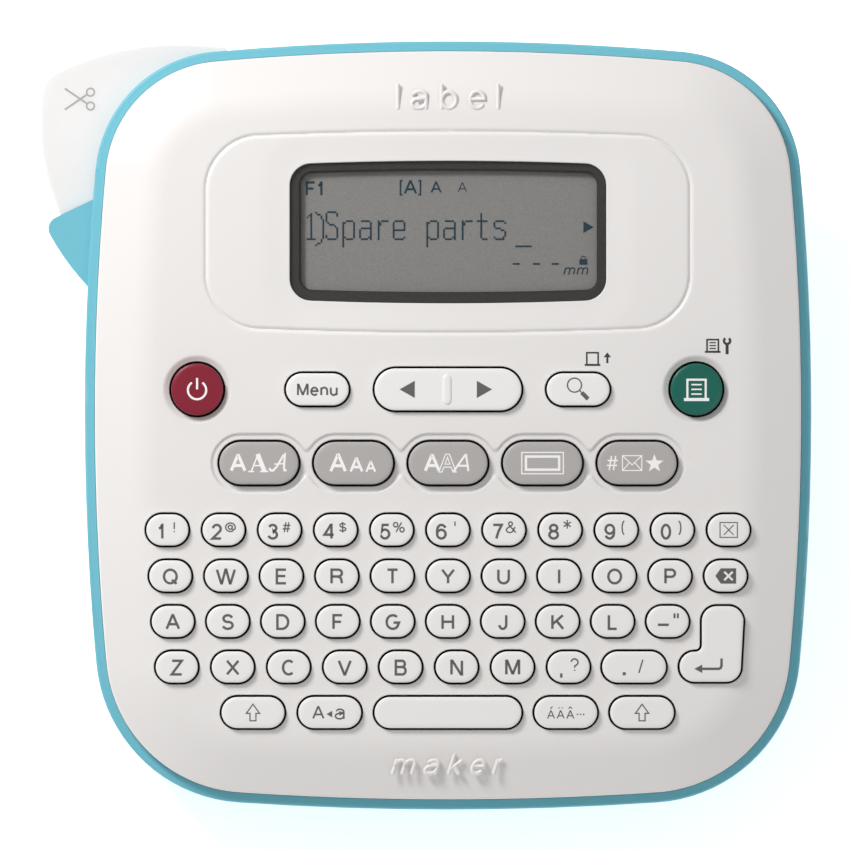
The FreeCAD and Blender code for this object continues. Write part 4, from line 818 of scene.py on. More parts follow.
@dataclass
class Pen:
    """Draws legends as thin plates of ink on one level of the face."""

    level: float
    thickness: float = 0.02
    surface: Surface = field(default_factory=Surface)
    laid: int = 0

    def lay(self, flat: np.ndarray, faces: Sequence[Sequence[int]]) -> None:
        """Lay one patch of ink, a hair above the last so that crossing strokes don't share a plane."""
        self.laid += 1
        rise = INK_STEP * (self.laid % INK_STEPS)
        self.surface.slab(flat, faces, self.level - self.thickness, self.level + self.thickness + rise)

    def fill(self, corners: Sequence[Spot], x: float = 0.0, y: float = 0.0) -> None:
        """A filled polygon, given anticlockwise round a centre."""
        flat = np.array(corners, float) + (x, y)
        self.lay(flat, [tuple(range(len(flat)))])

    @staticmethod
    def sides(line: Sequence[Spot], closed: bool) -> tuple[np.ndarray, np.ndarray]:
        """The corners of a line and, at each, the mitred direction to its left.

        Args:
            line: The corners.
            closed: The last corner joins the first.

        Returns:
            Corners and directions.
        """
        path = np.array(line, float)
        before, after = np.roll(path, 1, axis=0), np.roll(path, -1, axis=0)
        if not closed:
            before[0], after[-1] = 2 * path[0] - path[1], 2 * path[-1] - path[-2]
        first, second = path - before, after - path
        first /= np.maximum(np.linalg.norm(first, axis=1, keepdims=True), 1e-9)
        second /= np.maximum(np.linalg.norm(second, axis=1, keepdims=True), 1e-9)
        side = np.column_stack([-(first + second)[:, 1], (first + second)[:, 0]])
        side /= np.maximum(np.linalg.norm(side, axis=1, keepdims=True), 1e-9)
        square = np.column_stack([-second[:, 1], second[:, 0]])
        return path, side / np.maximum((side * square).sum(1), 0.35)[:, None]

    def stroke(self, line: Sequence[Spot], width: float, x: float = 0.0, y: float = 0.0,
               closed: bool = False) -> None:
        """A line of even width with mitred corners.

        Args:
            line: Its corners round a centre.
            width: Full width of the line.
            x: Centre, to the right.
            y: Centre, up the face.
            closed: Join the last corner to the first.
        """
        path, side = self.sides([(a + x, b + y) for a, b in line], closed)
        count = len(path)
        flat = np.vstack([path - side * width / 2, path + side * width / 2])
        steps = range(count if closed else count - 1)
        self.lay(flat, [(i, (i + 1) % count, count + (i + 1) % count, count + i) for i in steps])

    def box(self, width: float, height: float, line: float, x: float, y: float) -> None:
        """The outline of a rectangle."""
        a, b = width / 2, height / 2
        self.stroke([(-a, -b), (a, -b), (a, b), (-a, b)], line, x, y, closed=True)

    def bar(self, width: float, height: float, x: float, y: float) -> None:
        """A filled rectangle."""
        a, b = width / 2, height / 2
        self.fill([(-a, -b), (a, -b), (a, b), (-a, b)], x, y)

    def ring(self, radius: float, line: float, x: float, y: float, start: float = 0.0,
             end: float = TAU) -> None:
        """A circle or a part of one."""
        whole = end - start >= TAU - 1e-6
        turns = np.linspace(start, end, 33)[: 32 if whole else 33]
        self.stroke([(radius * math.cos(t), radius * math.sin(t)) for t in turns], line, x, y, closed=whole)

    def text(self, words: str, size: float, x: float, y: float, line: float = 0.47,
             slant: Slant = Slant.UPRIGHT, gap: float = 0.22, ridge: float = 0.0) -> None:
        """Signs of even strokes, centred on a point.

        Args:
            words: What to write.
            size: Height of a capital letter.
            x: Centre, to the right.
            y: Middle of a capital, up the face.
            line: Width of each stroke.
            slant: How the letters lean.
            gap: Space between two signs, as a share of the size.
            ridge: Height of a rounded ridge to draw in place of flat ink.
        """
        glyphs = [GLYPHS[sign] for sign in words]
        widths = [max(glyph.width * size, line) for glyph in glyphs]
        left = x - (sum(widths) + gap * size * (len(words) - 1)) / 2
        foot = y - size / 2 + line / 2
        for glyph, width in zip(glyphs, widths):
            for stroke in glyph.lines:
                path = [(left + line / 2 + a * (width - line) + slant.value * (b - 0.5) * size,
                         foot + b * (size - line)) for a, b in stroke]
                closed = len(path) > 3 and math.dist(path[0], path[-1]) < 1e-6
                path = path[:-1] if closed else path
                if ridge:
                    self.ridge(path, line, ridge, closed)
                else:
                    self.stroke(path, line, closed=closed)
            left += width + gap * size

    def ridge(self, line: Sequence[Spot], width: float, height: float, closed: bool) -> None:
        """Lay a rounded ridge along a line, tapering to nothing at its open ends.

        Args:
            line: Corners of the line.
            width: Full width of the ridge.
            height: Height of its back.
            closed: Join the last corner to the first.
        """
        path, side = self.sides(line, closed)
        count = len(path)
        shares = np.linspace(-1.0, 1.0, 7)
        points: list[np.ndarray] = []
        normals: list[np.ndarray] = []
        foot = self.level - RIDGE_SUNK
        for share in shares:
            level = np.full(count, self.level - RIDGE_SUNK + height * (1 - share * share))
            points.append(np.column_stack([path + side * share * width / 2, level]))
            across = side * share * 1.6
            normals.append(np.column_stack([across, np.ones(count)]))
        faces = []
        for row in range(len(shares) - 1):
            for i in range(count if closed else count - 1):
                a, b = row * count + i, row * count + (i + 1) % count
                faces.append((a + count, a, b, b + count))
        for end, sign in () if closed else ((0, -1.0), (count - 1, 1.0)):
            way = path[end] - path[end - 1 if end else 1]
            tip = path[end] + way / max(np.hypot(*way), 1e-9) * width / 2
            rim = [row * count + end for row in range(len(shares))]
            points.append(np.array([[*tip, foot]]))
            normals.append(np.array([[*(way / max(np.hypot(*way), 1e-9)), 0.7]]))
            last = len(shares) * count + (1 if end else 0)
            faces += [(b, a, last) if sign < 0 else (a, b, last) for a, b in zip(rim[1:], rim)]
        self.surface.add(np.vstack(points), np.vstack(normals), faces)


class Icons:
    """The pictures on the keys and beside them, each drawn round a centre."""

    @staticmethod
    def power(pen: Pen, x: float, y: float) -> None:
        """A broken ring with a bar through the gap."""
        pen.ring(1.85, 0.42, x, y - 0.15, math.radians(125), math.radians(415))
        pen.bar(0.42, 2.3, x, y + 1.15)

    @staticmethod
    def page(pen: Pen, x: float, y: float, size: float = 1.0, lines: bool = True,
             weight: float = 1.0) -> None:
        """A label standing on the line that it came out of."""
        line = 0.42 * size * weight
        pen.box(3.7 * size, 3.9 * size, line, x, y)
        pen.bar(5.1 * size, 0.62 * size, x, y - 2.05 * size)
        for step in (-0.95, 0.0, 0.95) if lines else ():
            pen.bar(2.1 * size, 0.3 * size * weight, x, y + step * size)

    @staticmethod
    def magnifier(pen: Pen, x: float, y: float) -> None:
        """A lens with a handle to the lower right."""
        pen.ring(1.42, 0.28, x - 0.75, y + 0.85)
        pen.stroke([(0.35, -0.3), (0.8, -0.75)], 0.28, x, y)
        pen.stroke([(0.7, -0.65), (2.0, -1.95)], 0.85, x, y)

    @staticmethod
    def triangle(pen: Pen, x: float, y: float, way: float, size: float = 1.0) -> None:
        """A filled triangle that points left or right."""
        corners = [(way * 1.5, 0.0), (-way * 1.4, 1.65), (-way * 1.4, -1.65)]
        corners = corners if way > 0 else corners[::-1]
        pen.fill([(a * size, b * size) for a, b in corners], x, y)

    @staticmethod
    def frames(pen: Pen, x: float, y: float) -> None:
        """Two rectangles, one inside the other."""
        pen.box(8.4, 4.3, 0.25, x, y)
        pen.box(6.7, 2.65, 0.5, x, y)

    @staticmethod
    def symbols(pen: Pen, x: float, y: float) -> None:
        """A number sign, an envelope and a star."""
        pen.text("#", 3.2, x - 5.0, y, 0.3)
        pen.box(3.9, 3.0, 0.22, x - 1.0, y)
        pen.stroke([(-1.85, 1.4), (0.0, -0.35), (1.85, 1.4)], 0.2, x - 1.0, y)
        for side in (-1, 1):
            pen.stroke([(side * 1.85, -1.4), (side * 0.55, 0.1)], 0.2, x - 1.0, y)
        star = [(r * math.cos(t), r * math.sin(t)) for r, t in
                ((1.95 if i % 2 == 0 else 0.8, TAU / 4 + i * TAU / 10) for i in range(10))]
        fan = [(0, i + 1, (i + 1) % 10 + 1) for i in range(10)]
        pen.lay(np.array([(0.0, 0.0)] + star) + (x + 3.5, y - 0.1), fan)

    @staticmethod
    def boxed_cross(pen: Pen, x: float, y: float) -> None:
        """A cross in a thin box."""
        pen.box(3.5, 3.0, 0.2, x, y)
        pen.stroke([(-1.0, -1.0), (1.0, 1.0)], 0.2, x, y)
        pen.stroke([(-1.0, 1.0), (1.0, -1.0)], 0.2, x, y)

    @staticmethod
    def eraser(pen: Pen, x: float, y: float) -> None:
        """A filled tag that points left."""
        pen.fill([(-2.1, 0.0), (-1.0, -1.55), (2.1, -1.55), (2.1, 1.55), (-1.0, 1.55)], x, y)

    @staticmethod
    def cross(pen: Pen, x: float, y: float) -> None:
        """The cross on the tag."""
        pen.stroke([(-0.85, -0.85), (0.85, 0.85)], 0.42, x + 0.55, y)
        pen.stroke([(-0.85, 0.85), (0.85, -0.85)], 0.42, x + 0.55, y)

    @staticmethod
    def return_arrow(pen: Pen, x: float, y: float) -> None:
        """A hooked arrow to the left."""
        hook = [(2.6, 1.7), (2.6, 0.2), (2.45, -0.2), (2.1, -0.4), (-1.4, -0.4)]
        pen.stroke(hook, 0.5, x, y)
        pen.fill([(-2.9, -0.4), (-1.3, -1.25), (-1.3, 0.45)], x, y)

    @staticmethod
    def shift_arrow(pen: Pen, x: float, y: float) -> None:
        """The outline of an upward arrow."""
        pen.stroke([(-0.6, -1.65), (0.6, -1.65), (0.6, -0.15), (1.35, -0.15), (0.0, 1.7),
                    (-1.35, -0.15), (-0.6, -0.15)], 0.24, x, y, closed=True)

    @staticmethod
    def up_arrow(pen: Pen, x: float, y: float) -> None:
        """A small filled upward arrow."""
        pen.bar(0.42, 1.3, x, y - 0.45)
        pen.fill([(-0.75, 0.0), (0.75, 0.0), (0.0, 0.95)], x, y + 0.1)

    @staticmethod
    def spanner(pen: Pen, x: float, y: float) -> None:
        """A small open spanner."""
        pen.bar(0.62, 2.0, x, y - 0.75)
        pen.ring(0.62, 0.5, x, y + 0.95, math.radians(125), math.radians(415))

    @staticmethod
    def scissors(pen: Pen, x: float, y: float) -> None:
        """Open scissors lying on their side, blades to the left."""
        for side in (-1, 1):
            pen.ring(0.78, 0.34, x + 2.1, y + side * 1.4)
            pen.stroke([(1.5, side * 1.0), (-3.1, -side * 2.15)], 0.38, x, y)

    @staticmethod
    def padlock(pen: Pen, x: float, y: float) -> None:
        """A closed padlock."""
        pen.bar(1.6, 1.15, x, y - 0.4)
        pen.ring(0.48, 0.2, x, y + 0.25, 0.0, TAU / 2)


def letter(words: str, size: float = 3.25, line: float = 0.5, gap: float = 0.22) -> Legend:
    """A legend of one centred word."""
    return lambda pen, x, y: pen.text(words, size, x, y - 0.1, line, gap=gap)


def number(digit: str, sign: str, sign_size: float = 2.3) -> Legend:
    """A bold digit low on the left with a thin sign high on the right."""

    def draw(pen: Pen, x: float, y: float) -> None:
        """Draw both."""
        pen.text(digit, 3.25, x - 1.35, y - 0.35, 0.5)
        pen.text(sign, sign_size, x + 1.4, y + 0.55, 0.27)

    return draw


def font_sample(pen: Pen, x: float, y: float) -> None:
    """Three capitals: plain, with feet and handwritten."""
    pen.text("A", 3.7, x - 4.2, y, 0.62)
    for a, b, line in (((-1.35, -1.7), (0.0, 1.7), 0.3), ((-0.05, 1.85), (1.35, -1.7), 0.9),
                       ((-0.9, -0.5), (0.8, -0.5), 0.3), ((-1.95, -1.7), (-0.75, -1.7), 0.32),
                       ((0.45, -1.7), (2.1, -1.7), 0.32)):
        pen.stroke([a, b], line, x - 0.2, y)
    swash = [(-1.9, -1.0), (-1.6, -1.5), (-1.1, -1.5), (-0.3, -0.6), (0.9, 1.5), (1.25, 1.75), (1.05, -1.0),
             (1.2, -1.5), (1.6, -1.4)]
    pen.stroke(swash, 0.42, x + 4.0, y)
    pen.stroke([(-0.9, -0.2), (1.3, -0.1)], 0.26, x + 4.0, y)


def size_sample(pen: Pen, x: float, y: float) -> None:
    """Three capitals, each smaller than the last, on one line."""
    for offset, height, line in ((-3.1, 3.9, 0.62), (0.6, 3.1, 0.52), (3.5, 2.4, 0.42)):
        pen.text("A", height, x + offset, y + (height - 3.9) / 2, line)


def style_sample(pen: Pen, x: float, y: float) -> None:
    """Three capitals: bold, hollow and slanted."""
    pen.text("A", 3.7, x - 3.2, y, 0.62)
    rim = [(-1.75, -1.8), (-0.4, 1.8), (0.4, 1.8), (1.75, -1.8), (1.1, -1.8), (0.72, -0.8), (-0.72, -0.8),
           (-1.1, -1.8)]
    pen.stroke(rim, 0.22, x - 0.1, y, closed=True)
    pen.stroke([(-0.5, -0.2), (0.5, -0.2), (0.0, 1.15)], 0.2, x - 0.1, y, closed=True)
    pen.text("A", 3.7, x + 3.1, y, 0.42, Slant.ITALIC)


def dash_quote(pen: Pen, x: float, y: float) -> None:
    """A dash low on the left and a quotation mark high on the right."""
    pen.bar(2.2, 0.5, x - 0.9, y - 0.65)
    pen.text('"', 3.0, x + 1.7, y + 0.35, 0.4)


def comma_question(pen: Pen, x: float, y: float) -> None:
    """A comma and a question mark."""
    pen.text(",", 3.2, x - 1.5, y - 0.2, 0.5)
    pen.text("?", 2.7, x + 1.2, y + 0.45, 0.3)


def stop_slash(pen: Pen, x: float, y: float) -> None:
    """A full stop and a stroke, well apart."""
    pen.bar(0.62, 0.62, x - 2.0, y - 1.35)
    pen.stroke([(0.95, -1.2), (1.75, 1.5)], 0.28, x, y)


def case_change(pen: Pen, x: float, y: float) -> None:
    """A capital, a small arrow and a small letter."""
    pen.text("A", 2.7, x - 2.3, y, 0.36)
    Icons.triangle(pen, x - 0.05, y - 0.3, -1.0, 0.4)
    pen.text("a", 3.0, x + 2.1, y + 0.1, 0.32)


def accents(pen: Pen, x: float, y: float) -> None:
    """Accented capitals and a row of dots."""
    acute = (((-0.1, 0.0), (0.3, 0.5)),)
    two_dots = (((-0.45, 0.2), (-0.2, 0.2)), ((0.2, 0.2), (0.45, 0.2)))
    roof = (((-0.35, 0.05), (0.0, 0.45)), ((0.0, 0.45), (0.35, 0.05)))
    for offset, marks in ((-3.0, acute), (-1.05, two_dots), (0.9, roof)):
        pen.text("A", 1.75, x + offset, y - 0.4, 0.22)
        for a, b in marks:
            pen.stroke([a, b], 0.2, x + offset, y + 0.75)
    for dot in range(3):
        pen.bar(0.28, 0.28, x + 2.35 + 0.62 * dot, y - 0.35)


# ---- keys


class KeyShape(Enum):
    """The plan of a key."""

    CAPSULE = "capsule"
    ROUND = "round"
    RETURN = "return"


@dataclass(frozen=True)
class CapProfile:
    """How a cap rises from its opening: a side, a round edge and a gentle crown."""

    top: float = 1.4
    foot: float = -0.2
    edge: float = 0.32
    crown_reach: float = 1.05
    crown_drop: float = 0.16
    steps: int = 5

    def rings(self, outline: Outline, shrink: float) -> list[Ring]:
        """Rings from the foot of the cap to its flat top.

        Args:
            outline: Plan of the opening.
            shrink: Gap between the opening and the cap.

        Returns:
            Points and normals of each ring.
        """
        slope = 2 * self.crown_drop / self.crown_reach
        lean = math.pi / 2 - math.atan(slope)
        inset = self.edge * (1 - math.cos(lean))
        shoulder = self.top - self.crown_drop * (1 - inset / self.crown_reach) ** 2
        centre = shoulder - self.edge * math.sin(lean)
        marks = [(0.0, self.foot, 0.0)]
        for step in range(self.steps + 1):
            turn = lean * step / self.steps
            marks.append((self.edge * (1 - math.cos(turn)), centre + self.edge * math.sin(turn), turn))
        for share in (0.5, 0.75, 1.0):
            reach = inset + (self.crown_reach - inset) * share
            fall = 1 - reach / self.crown_reach
            level = self.top - self.crown_drop * fall ** 2
            marks.append((reach, level, math.pi / 2 - math.atan(slope * fall)))
        return [outline.level(-shrink - reach, height, math.cos(turn), math.sin(turn))
                for reach, height, turn in marks]


@dataclass(frozen=True)
class KeyRow:
    """One key, or a row of equal keys that are one node of the frame."""

    node: str
    width: float
    height: float
    legends: tuple[Legend, ...]
    finish: Finishes = Finishes.KEY_WHITE
    ink: Finishes = Finishes.INK_GREY
    slot: str = "key_white"
    shape: KeyShape = KeyShape.CAPSULE
    flange_lip: float = 0.6
    gap: float = 0.42

    def body(self, frame: dict) -> str:
        """The body that the keys ride on."""
        return frame["nodes"][self.node]["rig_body"]

    def centres(self, face: FaceFrame) -> list[Spot]:
        """Where the keys of the row are, from the extent of their node.

        Args:
            face: The face frame.

        Returns:
            The centre of each key.
        """
        low, high = face.extent(self.node)
        count = len(self.legends)
        half = self.width / 2 + self.flange_lip
        y = float(low[1] + high[1]) / 2
        if count == 1:
            return [(float(low[0] + high[0]) / 2, y)]
        step = (high[0] - low[0] - 2 * half) / (count - 1)
        return [(float(low[0] + half + step * i), y) for i in range(count)]

    def outlines(self, face: FaceFrame) -> list[Outline]:
        """The openings that the keys stand in."""
        spots = self.centres(face)
        if self.shape is KeyShape.ROUND:
            return [circle(x, y, self.width / 2) for x, y in spots]
        if self.shape is KeyShape.RETURN:
            return [return_outline(*spots[0])]
        return [capsule(x, y, self.width, self.height) for x, y in spots]

    def build(self, frame: dict, face: FaceFrame) -> None:
        """Make the caps, their black stems and their legends.

        Args:
            frame: The loaded frame.
            face: The face frame.
        """
        profile = CapProfile()
        body = self.body(frame)
        caps, stems, pen = Surface(), Surface(), Pen(profile.top)
        flange_top = float(face.extent(self.node)[0][2])
        flange = CURSOR_FLANGE_LEVEL if self.node == "cursor_key" else FLANGE_LEVEL
        for outline, spot, draw in zip(self.outlines(face), self.centres(face), self.legends):
            caps.loft(profile.rings(outline, self.gap), cap_first=True, cap_last=True)
            bottom = max(flange_top, flange - 1.0)
            stems.loft(self.stem_rings(outline, profile.foot - STEM_GAP, flange, bottom),
                       cap_first=True, cap_last=True)
            draw(pen, *spot)
        cap = caps.build(self.node + "_caps", face, self.finish.material())
        seat(cap, body, self.slot, self.node)
        stem = stems.build(self.node + "_stems", face, Finishes.STEM_AND_GAP_SHADE.material())
        seat(stem, body, "plastic_dark")
        if pen.surface.count:
            ink = pen.surface.build(self.node + "_legends", face, self.ink.material())
            seat(ink, body, self.slot)

    def stem_rings(self, outline: Outline, top: float, flange: float, bottom: float) -> list[Ring]:
        """Rings of the stem and of the flange that keeps the key in, from the bottom up.

        Args:
            outline: Plan of the opening.
            top: Height of the stem's top.
            flange: Height of the flange's top.
            bottom: Height of the flange's underside.

        Returns:
            Points and normals of each ring.
        """
        lip, neck = self.flange_lip, -self.gap - STEM_GAP
        marks = ((lip, bottom, 0.0), (lip, flange, 0.0), (lip, flange, 1.0),
                 (neck, flange, 1.0), (neck, flange, 0.0), (neck, top, 0.0))
        return [outline.level(grow, height, 1 - up, up) for grow, height, up in marks]


def return_outline(x: float, y: float) -> Outline:
    """The L-shaped opening of the return key round its centre; its outer side leans a little."""
    quarter = TAU / 4
    left, right, foot = x - 2.35, x + 6.85, x - 6.85
    top, bottom, step = y + 8.05, y - 8.05, y - 1.15
    corner, lean = 3.4, 0.5
    return Outline((
        Arc(right - lean - corner, bottom + corner, corner, -quarter, 0.04, 12),
        Arc(right - corner, top - corner, corner, 0.04, quarter, 12),
        Arc(left + corner, top - corner, corner, quarter, 2 * quarter, 12),
        Arc(left - 0.9, step + 0.9, 0.9, 0.0, -quarter, 6, hollow=True),
        Arc(foot + corner, step - corner, corner, quarter, 2 * quarter, 12),
        Arc(foot + corner, bottom + corner, corner, 2 * quarter, 3 * quarter, 12),
    ))


@dataclass
class Keyboard:
    """All the keys of the face, in rows."""

    letter_width: float = 9.3
    letter_height: float = 7.1
    wide: float = 13.5
    wider: float = 13.7
    bar: float = 30.5
    function_width: float = 16.8
    function_height: float = 9.4
    round_width: float = 11.3

    def rows(self) -> list[KeyRow]:
        """Every row, from the top of the face to its bottom."""
        signs = [number(d, s, size) for d, s, size in (
            ("1", "!", 2.3), ("2", "@", 2.0), ("3", "#", 2.3), ("4", "$", 2.2), ("5", "%", 2.2),
            ("6", "'", 2.6), ("7", "&", 2.4), ("8", "*", 3.2), ("9", "(", 2.6), ("0", ")", 2.6))]
        w, h = self.letter_width, self.letter_height
        fw, fh = self.function_width, self.function_height

        def letters(word: str) -> tuple:
            """A legend for each letter of a word."""
            return tuple(letter(sign) for sign in word)

        def function(node: str, draw: Legend) -> KeyRow:
            """A grey function key with a white picture."""
            return KeyRow(node, fw, fh, (draw,), Finishes.KEY_GREY, Finishes.INK_WHITE, "key_grey")

        def one(node: str, width: float, draw: Legend, height: float = h) -> KeyRow:
            """A single white key."""
            return KeyRow(node, width, height, (draw,))

        return [
            KeyRow("power_key", self.round_width, self.round_width, (Icons.power,), Finishes.KEY_BURGUNDY,
                   Finishes.INK_WHITE, "key_burgundy", KeyShape.ROUND),
            one("menu_key", self.wide, letter("Menu", 2.5, 0.4, 0.13), 7.3),
            one("cursor_key", self.bar, self.cursor_legend, 9.3),
            one("preview_key", self.wide, Icons.magnifier, 7.3),
            KeyRow("print_key", self.round_width, self.round_width, (Icons.page,), Finishes.KEY_GREEN,
                   Finishes.INK_WHITE, "key_green", KeyShape.ROUND),
            function("font_key", font_sample),
            function("size_key", size_sample),
            function("style_key", style_sample),
            function("frame_key", Icons.frames),
            function("symbol_key", Icons.symbols),
            KeyRow("number_keys", w, h, tuple(signs)),
            one("clear_key", w, Icons.boxed_cross),
            KeyRow("top_letter_keys", w, h, letters("QWERTYUIOP")),
            one("backspace_key", w, Icons.eraser),
            KeyRow("home_letter_keys", w, h, letters("ASDFGHJKL") + (dash_quote,)),
            KeyRow("enter_key", 13.7, 16.1, (lambda pen, x, y: Icons.return_arrow(pen, x - 0.6, y - 4.6),),
                   shape=KeyShape.RETURN),
            KeyRow("bottom_letter_keys", w, h, letters("ZXCVBNM") + (comma_question,)),
            one("stop_key", self.wider, stop_slash),
            one("shift_key_left", self.wide, Icons.shift_arrow),
            one("caps_key", self.wide, case_change),
            one("space_key", self.bar, lambda pen, x, y: None),
            one("accent_key", self.wide, accents),
            one("shift_key_right", self.wider, Icons.shift_arrow),
        ]

    @staticmethod
    def cursor_legend(pen: Pen, x: float, y: float) -> None:
        """A triangle near each end of the long key."""
        Icons.triangle(pen, x - 8.2, y, -1.0, 1.06)
        Icons.triangle(pen, x + 7.3, y, 1.0, 1.06)

    def build(self, frame: dict, face: FaceFrame) -> list[KeyRow]:
        """Make every key, the ridge of the long key and the cross of the eraser key.

        Args:
            frame: The loaded frame.
            face: The face frame.

        Returns:
            The rows, for the cover's openings.
        """
        rows = self.rows()
        for row in rows:
            row.build(frame, face)
            LOG.info("keys %s: %d", row.node, len(row.legends))
        known = {row.node: row for row in rows}
        x, y = known["cursor_key"].centres(face)[0]
        ridge = Surface()
        plan = Outline(tuple(Arc(x - 0.2, y + side * 2.2, 0.88, start, start + TAU / 2, 10)
                             for side, start in ((1, 0.0), (-1, TAU / 2))))
        ridge.loft(CapProfile(1.72, 1.3, 0.3, 0.8, 0.14).rings(plan, 0.0), cap_first=True, cap_last=True)
        piece = ridge.build("cursor_key_ridge", face, Finishes.KEY_WHITE.material())
        seat(piece, known["cursor_key"].body(frame), "key_white")
        x, y = known["backspace_key"].centres(face)[0]
        pen = Pen(1.44)
        Icons.cross(pen, x, y)
        piece = pen.surface.build("backspace_key_cross", face, Finishes.KEY_WHITE.material())
        seat(piece, known["backspace_key"].body(frame), "key_white")
        return rows


# ---- cover


@dataclass
class Cover:
    """The white cover: a crowned sheet with soft edges, a groove, dishes, a recess and openings."""

    case: CaseShape = field(default_factory=CaseShape)
    rim_width: float = 2.1
    rim_gap: float = 0.04
    crown_width: float = 10.0
    crown_drop: float = 2.9
    crown_round: float = 20.0
    edge_round: float = 0.6
    wall: float = 2.0
    skirt: float = 7.5
    hole_edge: float = 0.22
    hole_wall: float = 0.42
    groove_box: tuple[float, float, float] = (97.9, 38.0, 10.4)
    groove_bow: float = 1.35
    groove_half: float = 0.55
    groove_depth: float = 0.4
    panel_fall: float = 0.35
    window_box: tuple[float, float, float] = (64.0, 27.4, 4.2)
    window_bow: float = 0.7
    recess_margin: float = 1.4
    recess_depth: float = 0.45
    recess_neck: float = 4.9
    dish_radius: float = 6.7
    dish_depth: float = 0.6
    grid_step: float = 2.4
    fine_step: float = 0.24
    crown_insets: tuple[float, ...] = (3.4, 4.8, 6.4, 8.0, 9.4, 10.3, 11.2, 12.1, 13.1, 14.1, 15.0)
    grid_inset: float = 16.0
    loose_inset: float = 15.2
    fine_inset: float = 12.0
    fine_bend: float = 0.0022
    hole_ring: float = 0.5
    hole_clear: float = 0.6

    def window(self, y: float, grow: float = 0.0) -> Outline:
        """The opening for the display pane."""
        width, height, corner = self.window_box
        return rounded_box(0.0, y, width + 2 * grow, height + 2 * grow, corner + grow,
                           self.window_bow, 10, 16)

    def crown(self, inset: np.ndarray) -> np.ndarray:
        """Height of the crowned edge by the distance from the case's outline.

        Args:
            inset: How far inside the outline each point lies.

        Returns:
            Heights, 0 over the flat middle.
        """
        angle = math.atan(self.crown_drop / self.crown_width)
        flat = self.rim_width + self.crown_width + self.crown_round * math.tan(angle / 2)
        bend = flat - self.crown_round * math.sin(angle)
        slope = -self.crown_drop + (inset - self.rim_width) * math.tan(angle)
        curve = np.sqrt(np.maximum(self.crown_round ** 2 - (flat - inset) ** 2, 0.0)) - self.crown_round
        return np.where(inset >= flat, 0.0, np.where(inset > bend, curve, slope))

    def height(self, points: np.ndarray, features: dict) -> np.ndarray:
        """Height of the cover's surface, without the rounding at its openings.

        Args:
            points: Points in the face.
            features: Centres of the function keys, the round keys and the display.

        Returns:
            Heights in millimetres.
        """
        level = self.crown(self.case.inset(points))
        y = features["display"]
        width, height, corner = self.groove_box
        plain = rounded_box(0.0, y, width, height, corner, self.groove_bow).bowed(points, back=True)
        away = box_distance(plain, 0.0, y, width, height, corner)
        level = level - self.groove_depth * np.exp(-np.abs(away / self.groove_half * 1.6) ** 1.7)
        wide, tall, round_corner = self.window_box
        ring = box_distance(points, 0.0, y, wide, tall + 2 * self.window_bow, round_corner)
        level = level - self.panel_fall * (1.0 - blend_step(ring, 0.0, 6.5)) * (away < 0)
        spots = features["function"]
        reach = (features["function_width"] - features["function_height"]) / 2
        radius = features["function_height"] / 2 + self.recess_margin
        shapes = [np.hypot(np.maximum(np.abs(points[:, 0] - x) - reach, 0.0), points[:, 1] - y0) - radius
                  for x, y0 in spots]
        centre_y, first, last = spots[0][1], spots[0][0], spots[-1][0]
        past = np.abs(points[:, 0] - (first + last) / 2) - (last - first) / 2
        shapes.append(np.hypot(np.maximum(past, 0.0), points[:, 1] - centre_y) - self.recess_neck / 2)
        softness = 0.4
        joined = -softness * np.log(np.sum([np.exp(-np.clip(s, -30, 30) / softness) for s in shapes], axis=0))
        offset = softness * 0.12
        level = level - self.recess_depth * (1.0 - blend_step(joined + offset, -0.55, 0.15))
        for x, y0 in features["round"]:
            reach_now = np.hypot(points[:, 0] - x, points[:, 1] - y0)
            dish = blend_step(reach_now, self.dish_radius - 1.15, self.dish_radius + 0.35)
            level = level - self.dish_depth * (1.0 - dish)
        return level

    def normals(self, points: np.ndarray, features: dict) -> np.ndarray:
        """Directions square to the surface, from the slope of its height.

        Args:
            points: Points in the face.
            features: What height() needs.

        Returns:
            A unit direction for each point.
        """
        step = 0.03
        slope = [(self.height(points + s, features) - self.height(points - s, features)) / (2 * step)
                 for s in ((step, 0.0), (0.0, step))]
        raw = np.column_stack([-slope[0], -slope[1], np.ones(len(points))])
        return raw / np.linalg.norm(raw, axis=1, keepdims=True)

    def fine_points(self, features: dict) -> np.ndarray:
        """Points on a close grid wherever the surface bends quickly.

        Args:
            features: What height() needs.

        Returns:
            The points.
        """
        xs = np.arange(-58.0, 58.0, self.fine_step)
        ys = np.arange(-16.0, 64.0, self.fine_step)
        grid = np.array(np.meshgrid(xs, ys)).reshape(2, -1).T
        level = self.height(grid, features).reshape(len(ys), len(xs))
        bend = np.zeros_like(level)
        bend[1:-1, 1:-1] = np.abs(level[1:-1, 2:] + level[1:-1, :-2] + level[2:, 1:-1] + level[:-2, 1:-1]
                                  - 4 * level[1:-1, 1:-1])
        return grid[(bend > self.fine_bend).ravel()]

